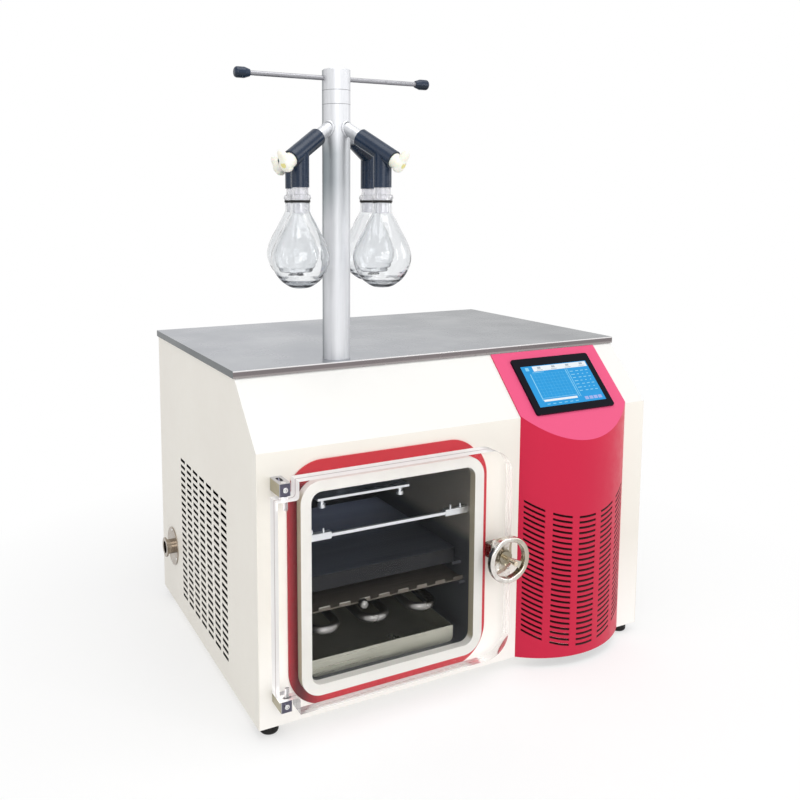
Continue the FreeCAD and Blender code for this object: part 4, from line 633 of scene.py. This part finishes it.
def lathe(name, profile, centre, paint, body, axis=Vector((0, 0, 1)), segments=96, closed=True):
    """Surface turned from (radius, height) points in millimetres about an axis through centre."""
    turn = Vector((0, 0, 1)).rotation_difference(axis).to_matrix()
    mesh = bpy.data.meshes.new(name)
    bm = bmesh.new()
    rings = []
    for radius, height in profile:
        on_axis = radius < 1e-6
        if on_axis:
            rings.append([bm.verts.new(centre + turn @ Vector((0, 0, height)) * MM)])
            continue
        ring = []
        for step in range(segments):
            angle = 2 * math.pi * step / segments
            point = Vector((radius * math.cos(angle), radius * math.sin(angle), height)) * MM
            ring.append(bm.verts.new(centre + turn @ point))
        rings.append(ring)
    pairs = list(zip(rings, rings[1:]))
    if closed:
        pairs.append((rings[-1], rings[0]))
    for lower, upper in pairs:
        if len(lower) == 1 and len(upper) == 1:
            continue
        for step in range(segments):
            after = (step + 1) % segments
            if len(lower) == 1:
                bm.faces.new((lower[0], upper[after], upper[step]))
            elif len(upper) == 1:
                bm.faces.new((lower[step], lower[after], upper[0]))
            else:
                bm.faces.new((lower[step], lower[after], upper[after], upper[step]))
    finish_mesh(bm, mesh)
    mesh.set_sharp_from_angle(angle=math.radians(40))
    return piece(name, mesh, paint, body)


def rounded(points, steps=8):
    """Replaces (r, z, radius) corners of a profile by short arcs."""
    out = []
    count = len(points)
    for i, point in enumerate(points):
        if len(point) == 2:
            out.append(point)
            continue
        here = Vector(point[:2])
        before = (Vector(points[i - 1][:2]) - here).normalized()
        after = (Vector(points[(i + 1) % count][:2]) - here).normalized()
        half = math.acos(max(-1.0, min(1.0, before.dot(after)))) / 2
        reach = point[2] / math.tan(half)
        centre = here + (before + after).normalized() * (point[2] / math.sin(half))
        start = here + before * reach - centre
        end = here + after * reach - centre
        for step in range(steps + 1):
            mix = start.lerp(end, step / steps).normalized() * point[2]
            out.append(tuple(centre + mix))
    return out


# ---------------------------------------------------------------- glassware and valves

def smooth_curve(points, steps=6):
    """Catmull-Rom curve through (radius, height) points."""
    out = []
    last = len(points) - 1
    for i in range(last):
        p0, p1, p2, p3 = (Vector(points[max(0, min(last, k))]) for k in (i - 1, i, i + 1, i + 2))
        for step in range(steps):
            t = step / steps
            out.append(0.5 * (2 * p1 + (p2 - p0) * t + (2 * p0 - 5 * p1 + 4 * p2 - p3) * t * t
                              + (3 * p1 - p0 - 3 * p2 + p3) * t ** 3))
    out.append(Vector(points[-1]))
    return out


def flask_wall(outer, wall, base):
    """Inner side of a blown wall, thicker towards the bottom, where it also ripples a little."""
    thick_part = 26.0
    ripple, ripple_rate, ripple_fade = 0.38, 0.8, 0.12
    inner = []
    low = outer[0].y
    for i, point in enumerate(outer):
        before = outer[max(0, i - 1)]
        after = outer[min(len(outer) - 1, i + 1)]
        run = (after - before).normalized()
        normal = Vector((-run.y, run.x))
        rise = point.y - low
        wave = ripple * math.sin(rise * ripple_rate) / (1 + rise * ripple_fade)
        thick = wall + (base - wall) * max(0.0, 1 - rise / thick_part) + wave
        inner.append(point + normal * thick)
    inner[0].x = 0
    return [p for p in inner if p.x >= 0]


def make_flask(index):
    """Pear flask blown in one piece, with a fire-rounded rim."""
    low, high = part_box("flask_%d" % index)
    centre = Vector(((low.x + high.x) / 2, (low.y + high.y) / 2, high.z))
    neck = 15.5
    outer = smooth_curve([(0, -140.3), (9, -139.8), (18.0, -137.5), (30.2, -129.5),
                          (39.6, -118.5), (45.8, -105.5), (48.5, -90.5), (45.4, -74.5),
                          (39.4, -60.5), (31.0, -44.5), (23.4, -30.0), (17.6, -19.5),
                          (neck, -12.5), (neck, -1.0)])
    inner = flask_wall(outer, wall=1.7, base=3.6)
    rim = [Vector((neck - 0.4, -0.2)), Vector((neck - 0.9, 0)), Vector((neck - 1.3, -0.2))]
    profile = [tuple(p) for p in outer + rim + inner[::-1]]
    item = lathe("flask_glass_%d" % index, profile, centre, glass, "cabinet", closed=False)
    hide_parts("flask_%d" % index)
    return centre


def make_adapter(index, centre):
    """Glass adapter: shank, rolled bead and ground cone."""
    ring = 3.5
    bead = 8.8
    top = ring + bead + 12.0
    profile = rounded([(8.5, -18.0), (12.6, -18.0, 0.8), (13.4, 0.2), (13.5, ring),
                       (16.0, ring, 1.0), (18.1, ring + bead * 0.4, 2.2),
                       (17.0, ring + bead, 2.4), (13.5, ring + bead + 0.6, 1.2), (13.5, top),
                       (11.0, top), (11.0, top + 15), (8.5, top + 15)], 6)
    item = lathe("adapter_glass_%d" % index, profile, centre, ground_glass, "cabinet")
    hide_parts("flask_adapter_%d" % index)


for number in VALVE_ANGLES:
    make_adapter(number, make_flask(number))


def stub_directions(angle):
    """Straight away from the column, along the sloping stub, and upwards square to the stub."""
    yaw = math.radians(angle)
    away = Vector((math.cos(yaw), math.sin(yaw), 0))
    out = away * math.cos(STUB_DROP) - Vector((0, 0, math.sin(STUB_DROP)))
    lift = away * math.sin(STUB_DROP) + Vector((0, 0, math.cos(STUB_DROP)))
    return away, out, lift


def soft_square(value):
    """Sine or cosine drawn towards a rounded square."""
    return math.copysign(abs(value) ** 0.72, value)


def make_knob(index, angle):
    """Moulded stopcock handle: a soft two-lobed wing on a short hub, with a capped centre."""
    out, lift = stub_directions(angle)[1:]
    side = out.cross(lift)
    plug_reach = 118.0
    start = at(*MANIFOLD_AXIS, BEND_HEIGHT + STUB_ROOT_RISE) \
        + out * (plug_reach / math.cos(STUB_DROP)) * MM
    mesh = bpy.data.meshes.new("knob_wing_%d" % index)
    bm = bmesh.new()
    high, low, width, depth, back = 26.0, 15.0, 9.0, 7.6, 14.0
    tip_flare, end_fullness, upper_narrowing, lower_widening = 4.0, 3.2, 0.22, 0.3
    rows, around = 28, 28
    rings = []
    for row in range(1, rows):
        s = -math.cos(math.pi * row / rows)
        reach = s * (high if s > 0 else low)
        flare = tip_flare * max(0.0, s) ** 2
        lobe = math.sqrt(max(0.0, 1 - abs(s) ** end_fullness))
        waist = 1 - upper_narrowing * max(0.0, s) + lower_widening * max(0.0, -s)
        ring = []
        for step in range(around):
            a = 2 * math.pi * step / around
            u = soft_square(math.cos(a)) * width * lobe * waist
            v = soft_square(math.sin(a)) * depth * lobe
            ring.append(bm.verts.new(start + (lift * reach + side * u
                                              + out * (back + flare + v)) * MM))
        rings.append(ring)
    tips = [bm.verts.new(start + (lift * -low + out * back) * MM),
            bm.verts.new(start + (lift * high + out * (back + tip_flare)) * MM)]
    for lower, upper in zip(rings, rings[1:]):
        for step in range(around):
            after = (step + 1) % around
            bm.faces.new((lower[step], lower[after], upper[after], upper[step]))
    for tip, ring in zip(tips, (rings[0], rings[-1])):
        for step in range(around):
            bm.faces.new((tip, ring[step], ring[(step + 1) % around]))
    finish_mesh(bm, mesh)
    wing = piece("knob_wing_%d" % index, mesh, cream_knob, "plug_%d" % index)
    hub = lathe("knob_hub_%d" % index,
                rounded([(0, -34), (10.5, -34), (10.5, 0.3), (12.2, 0.3, 0.8), (12.6, 13.0, 4.0),
                         (9.0, 21.0, 3.0), (6.4, 22.2, 0.8), (5.4, 22.2, 0.5), (5.2, 20.4),
                         (0, 20.4)]),
                start, cream_knob, "plug_%d" % index, axis=out)
    cap = lathe("knob_cap_%d" % index, rounded([(0, 20.5), (5.1, 20.5), (5.1, 21.5, 0.5),
                                                (0, 21.9)]),
                start, yellow_cap, "plug_%d" % index, axis=out)
    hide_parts("valve_plug_%d" % index)
    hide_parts("valve_plug_%d" % index)


for number, angle in VALVE_ANGLES.items():
    make_knob(number, angle)


def make_weld(index, angle):
    """Smooth weld where a sloping stub enters the column."""
    away, out, lift = stub_directions(angle)
    side = Vector((-away.y, away.x, 0))
    origin = Vector((0, 0, STUB_ROOT_RISE))
    centre = at(*MANIFOLD_AXIS, BEND_HEIGHT)
    bead = 2.3
    mesh = bpy.data.meshes.new("weld_%d" % index)
    bm = bmesh.new()
    count, around = 56, 14
    seam = []
    for step in range(count):
        turn = 2 * math.pi * step / count
        ray = origin + side * (STUB_RADIUS * math.cos(turn)) \
            + lift * (STUB_RADIUS * math.sin(turn))
        flat = Vector((ray.x, ray.y, 0)).dot(away)
        sideways = Vector((ray.x, ray.y, 0)).dot(side)
        reach = (math.sqrt(COLUMN_RADIUS ** 2 - sideways ** 2) - flat) / math.cos(STUB_DROP)
        seam.append(ray + out * reach)
    rings = []
    for step, point in enumerate(seam):
        along = (seam[(step + 1) % count] - seam[step - 1]).normalized()
        normal = Vector((point.x, point.y, 0)).normalized()
        binormal = along.cross(normal).normalized()
        normal = binormal.cross(along)
        ring = []
        for part in range(around):
            a = 2 * math.pi * part / around
            spot = point + (normal * math.cos(a) + binormal * math.sin(a)) * bead
            ring.append(bm.verts.new(centre + spot * MM))
        rings.append(ring)
    for step in range(count):
        here, after = rings[step], rings[(step + 1) % count]
        for part in range(around):
            other = (part + 1) % around
            bm.faces.new((here[part], after[part], after[other], here[other]))
    finish_mesh(bm, mesh)
    item = piece("weld_%d" % index, mesh, column, "cabinet")


for number, angle in VALVE_ANGLES.items():
    make_weld(number, angle)


def make_seam(name, height):
    """Dark line where the collar meets the column or the turning head."""
    low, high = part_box("column_collar")
    radius = (high.x - low.x) / 2 / MM
    inside, outside, half = radius - 0.3, radius + 0.03, 0.35
    lathe(name, [(inside, -half), (outside, -half), (outside, half), (inside, half)],
          at(*MANIFOLD_AXIS, height), seam_dark, "cabinet")


make_seam("seam_low", 998.4)
make_seam("seam_high", 1021.7)


# ---------------------------------------------------------------- screen picture

SCREEN_LOW, SCREEN_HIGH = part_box("screen_display")
SCREEN_UP = Vector((0, math.cos(SLOPE), math.sin(SLOPE)))
SCREEN_OUT = Vector((0, -math.sin(SLOPE), math.cos(SLOPE)))
SCREEN_WIDTH = SCREEN_HIGH.x - SCREEN_LOW.x
SCREEN_HEIGHT = 88 * MM


def screen_point(u, v, lift):
    """A point on the lit panel, with u and v from 0 to 1, lift in millimetres above it."""
    foot = Vector((SCREEN_LOW.x, SCREEN_LOW.y,
                   SCREEN_HIGH.z - SCREEN_HEIGHT * math.sin(SLOPE)))
    return foot + Vector((u * SCREEN_WIDTH, 0, 0)) + SCREEN_UP * (v * SCREEN_HEIGHT) \
        + SCREEN_OUT * (lift * MM)


def screen_patches(name, paint, patches, lift=0.06):
    """Flat lit patches, each given as left, right, low and high from 0 to 1."""
    mesh = bpy.data.meshes.new(name)
    bm = bmesh.new()
    for left, right, low, high in patches:
        corners = ((left, low), (right, low), (right, high), (left, high))
        bm.faces.new([bm.verts.new(screen_point(u, v, lift)) for u, v in corners])
    bm.to_mesh(mesh)
    bm.free()
    item = piece(name, mesh, paint, "cabinet")


screen_patches("screen_header", screen_white, [(0.165, 0.985, 0.86, 0.985)])
icon_pitch = 0.215
icons = [(0.235 + icon_pitch * i, 0.285 + icon_pitch * i, 0.915, 0.965) for i in range(4)]
screen_patches("screen_icons", screen_grey, icons, 0.09)
bars = [(0.215 + icon_pitch * i, 0.305 + icon_pitch * i, 0.878, 0.893) for i in range(4)]
screen_patches("screen_icon_bars", screen_grey, bars, 0.09)
screen_patches("screen_corner", screen_pale, [(0.055, 0.105, 0.885, 0.965)])
rows = [(0.10, 0.62, 0.26 + 0.075 * i, 0.264 + 0.075 * i) for i in range(8)]
columns = [(0.145 + 0.052 * i, 0.148 + 0.052 * i, 0.2, 0.8) for i in range(10)]
screen_patches("screen_chart_grid", screen_grid, rows + columns)
axes = [(0.085, 0.098, 0.14, 0.80), (0.10, 0.62, 0.195, 0.203), (0.625, 0.634, 0.14, 0.84),
        (0.652, 0.660, 0.14, 0.84), (0.13, 0.30, 0.825, 0.838)]
screen_patches("screen_axes", screen_pale, axes, 0.08)
screen_patches("screen_slider", screen_white, [(0.10, 0.60, 0.115, 0.165)], 0.08)
# Rows of short bars of uneven length stand for the readings.
marks = []
for line in range(7):
    height = 0.76 - 0.082 * line
    for place, length in ((0.68, 0.07), (0.77, 0.05), (0.845, 0.045), (0.92, 0.04)):
        reach = length * (0.75 + 0.25 * math.sin(3.1 * line + 9 * place))
        marks.append((place, place + reach, height, height + 0.018))
screen_patches("screen_marks", screen_pale, marks, 0.07)
keys = [(0.70 + 0.068 * i, 0.755 + 0.068 * i, 0.05, 0.125) for i in range(4)]
screen_patches("screen_keys", screen_lilac, keys, 0.08)
ticks = [(0.12 + 0.085 * i, 0.165 + 0.085 * i, 0.045, 0.062) for i in range(6)]
screen_patches("screen_ticks", screen_pale, ticks, 0.08)


# ---------------------------------------------------------------- small fasteners

def cap_screw(name, place, axis, radius, height, body):
    """Cap screw with a round recess in its head."""
    profile = rounded([(0, -1.0), (radius, -1.0), (radius, height, height * 0.3),
                       (radius * 0.52, height), (radius * 0.46, height * 0.35),
                       (0, height * 0.3)], 4)
    lathe(name, profile, place, chrome, body, axis=axis, segments=36)


FRONT = Vector((0, -1, 0))
for name in ("lower_hinge_block", "upper_hinge_block"):
    low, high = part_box(name)
    spot = Vector(((low.x + high.x) / 2, low.y, (low.z + high.z) / 2))
    cap_screw("%s_screw" % name, spot, FRONT, 4.2, 2.2, "cabinet")
low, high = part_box("latch_bush")
inset_x, inset_z = 0.006, 0.007
for i in range(4):
    spot = Vector((low.x + inset_x if i % 2 else high.x - inset_x, low.y,
                   low.z + inset_z if i < 2 else high.z - inset_z))
    cap_screw("bush_screw_%d" % i, spot, FRONT, 2.3, 1.2, "door")

low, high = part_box("rear_panel")
inset_x, inset_z = 0.012, 0.03
for i in range(4):
    for j in range(2):
        spot = Vector((low.x + inset_x + (high.x - low.x - 2 * inset_x) * i / 3, high.y,
                       low.z + inset_z + (high.z - low.z - 2 * inset_z) * j))
        cap_screw("rear_screw_%d_%d" % (i, j), spot, Vector((0, 1, 0)), 2.6, 1.3, "cabinet")
low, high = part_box("port_escutcheon")
middle = (low + high) / 2
screw_circle = 0.0345
for i in range(3):
    angle = math.radians(90 + 120 * i)
    spot = Vector((low.x, middle.y + screw_circle * math.cos(angle),
                   middle.z + screw_circle * math.sin(angle)))
    cap_screw("port_screw_%d" % i, spot, Vector((-1, 0, 0)), 2.4, 1.2, "cabinet")


# ---------------------------------------------------------------- closing

def main_camera():
    """The view from the front left and a little above."""
    data = bpy.data.cameras.new("camera")
    data.sensor_width = 36.0
    data.lens = 38.24
    data.shift_x = 0.0707
    data.shift_y = -0.1245
    camera = bpy.data.objects.new("camera", data)
    bpy.context.scene.collection.objects.link(camera)
    azimuth = math.radians(-26.32)
    elevation = math.radians(6.63)
    back = Vector((math.sin(azimuth) * math.cos(elevation),
                   -math.cos(azimuth) * math.cos(elevation), math.sin(elevation)))
    right = Vector((math.cos(azimuth), math.sin(azimuth), 0))
    up = back.cross(right)
    turn = Matrix((right, up, back)).transposed().to_4x4()
    camera.matrix_world = Matrix.Translation(at(-439.4, -1190.2, 835.8)) @ turn
    data.clip_start = 0.05
    bpy.context.scene.camera = camera


main_camera()


def soft_light(name, place, target, size, power):
    """White rectangular lamp aimed at a target."""
    data = bpy.data.lights.new(name, "AREA")
    data.shape = "RECTANGLE"
    data.size = size[0]
    data.size_y = size[1]
    data.energy = power
    lamp = bpy.data.objects.new(name, data)
    bpy.context.scene.collection.objects.link(lamp)
    lamp.location = place
    lamp.rotation_euler = (Vector(target) - Vector(place)).to_track_quat("-Z", "Y").to_euler()


soft_light("key_above", (-0.1, -0.7, 2.7), (0, 0, 0.4), (2.2, 1.6), 28)
soft_light("fill_front", (-0.9, -2.9, 1.3), (0, 0, 0.5), (1.6, 1.6), 22)
soft_light("strip_front", (1.3, -2.25, 1.2), (0, 0, 0.6), (0.14, 1.5), 5)
soft_light("fill_left", (-2.7, -0.4, 1.3), (0, 0, 0.4), (1.2, 1.6), 5)
soft_light("fill_right", (2.6, -1.1, 1.4), (0, 0, 0.5), (0.9, 1.6), 11)


def world_light(strength):
    """Plain grey-white light for the object, and plain white for what the camera, metal and
    glass see behind it."""
    world = bpy.data.worlds.new("studio")
    bpy.context.scene.world = world
    world.use_nodes = True
    tree = world.node_tree
    tree.nodes.clear()
    output = tree.nodes.new("ShaderNodeOutputWorld")
    soft = tree.nodes.new("ShaderNodeBackground")
    soft.inputs["Strength"].default_value = strength
    plain = tree.nodes.new("ShaderNodeBackground")
    plain.inputs["Strength"].default_value = 1.0
    plain.inputs["Color"].default_value = (1, 1, 1, 1)
    path = tree.nodes.new("ShaderNodeLightPath")
    seen = path.outputs["Is Camera Ray"]
    for name in ("Is Transmission Ray", "Is Glossy Ray"):
        either = tree.nodes.new("ShaderNodeMath")
        either.operation = "MAXIMUM"
        tree.links.new(seen, either.inputs[0])
        tree.links.new(path.outputs[name], either.inputs[1])
        seen = either.outputs["Value"]
    mix = tree.nodes.new("ShaderNodeMixShader")
    tree.links.new(seen, mix.inputs["Fac"])
    tree.links.new(soft.outputs["Background"], mix.inputs[1])
    tree.links.new(plain.outputs["Background"], mix.inputs[2])
    tree.links.new(mix.outputs["Shader"], output.inputs["Surface"])


world_light(0.66)


def make_floor():
    """White paper floor: it takes the object's shadow, and melts into the background."""
    mesh = bpy.data.meshes.new("floor")
    side = 30.0
    mesh.from_pydata([(-side, -side, 0), (side, -side, 0), (side, side, 0), (-side, side, 0)], [],
                     [(0, 1, 2, 3)])
    floor = bpy.data.objects.new("floor", mesh)
    bpy.context.scene.collection.objects.link(floor)
    paper = Paint("floor_paper", "#fafafa", roughness=0.9)
    tree = paper.tree
    paper.set(Specular_IOR_Level=0.1)
    distance = tree.nodes.new("ShaderNodeVectorMath")
    distance.operation = "LENGTH"
    tree.links.new(paper.coords, distance.inputs[0])
    far = paper.spread(distance.outputs["Value"], 0.5, 1, 0.4, 1.1)
    bright = tree.nodes.new("ShaderNodeEmission")
    mix = tree.nodes.new("ShaderNodeMixShader")
    tree.links.new(far, mix.inputs["Fac"])
    tree.links.new(paper.shader.outputs["BSDF"], mix.inputs[1])
    tree.links.new(bright.outputs["Emission"], mix.inputs[2])
    tree.links.new(mix.outputs["Shader"], tree.nodes["Material Output"].inputs["Surface"])
    mesh.materials.append(paper.material)


make_floor()
bpy.context.scene.view_settings.view_transform = "Standard"
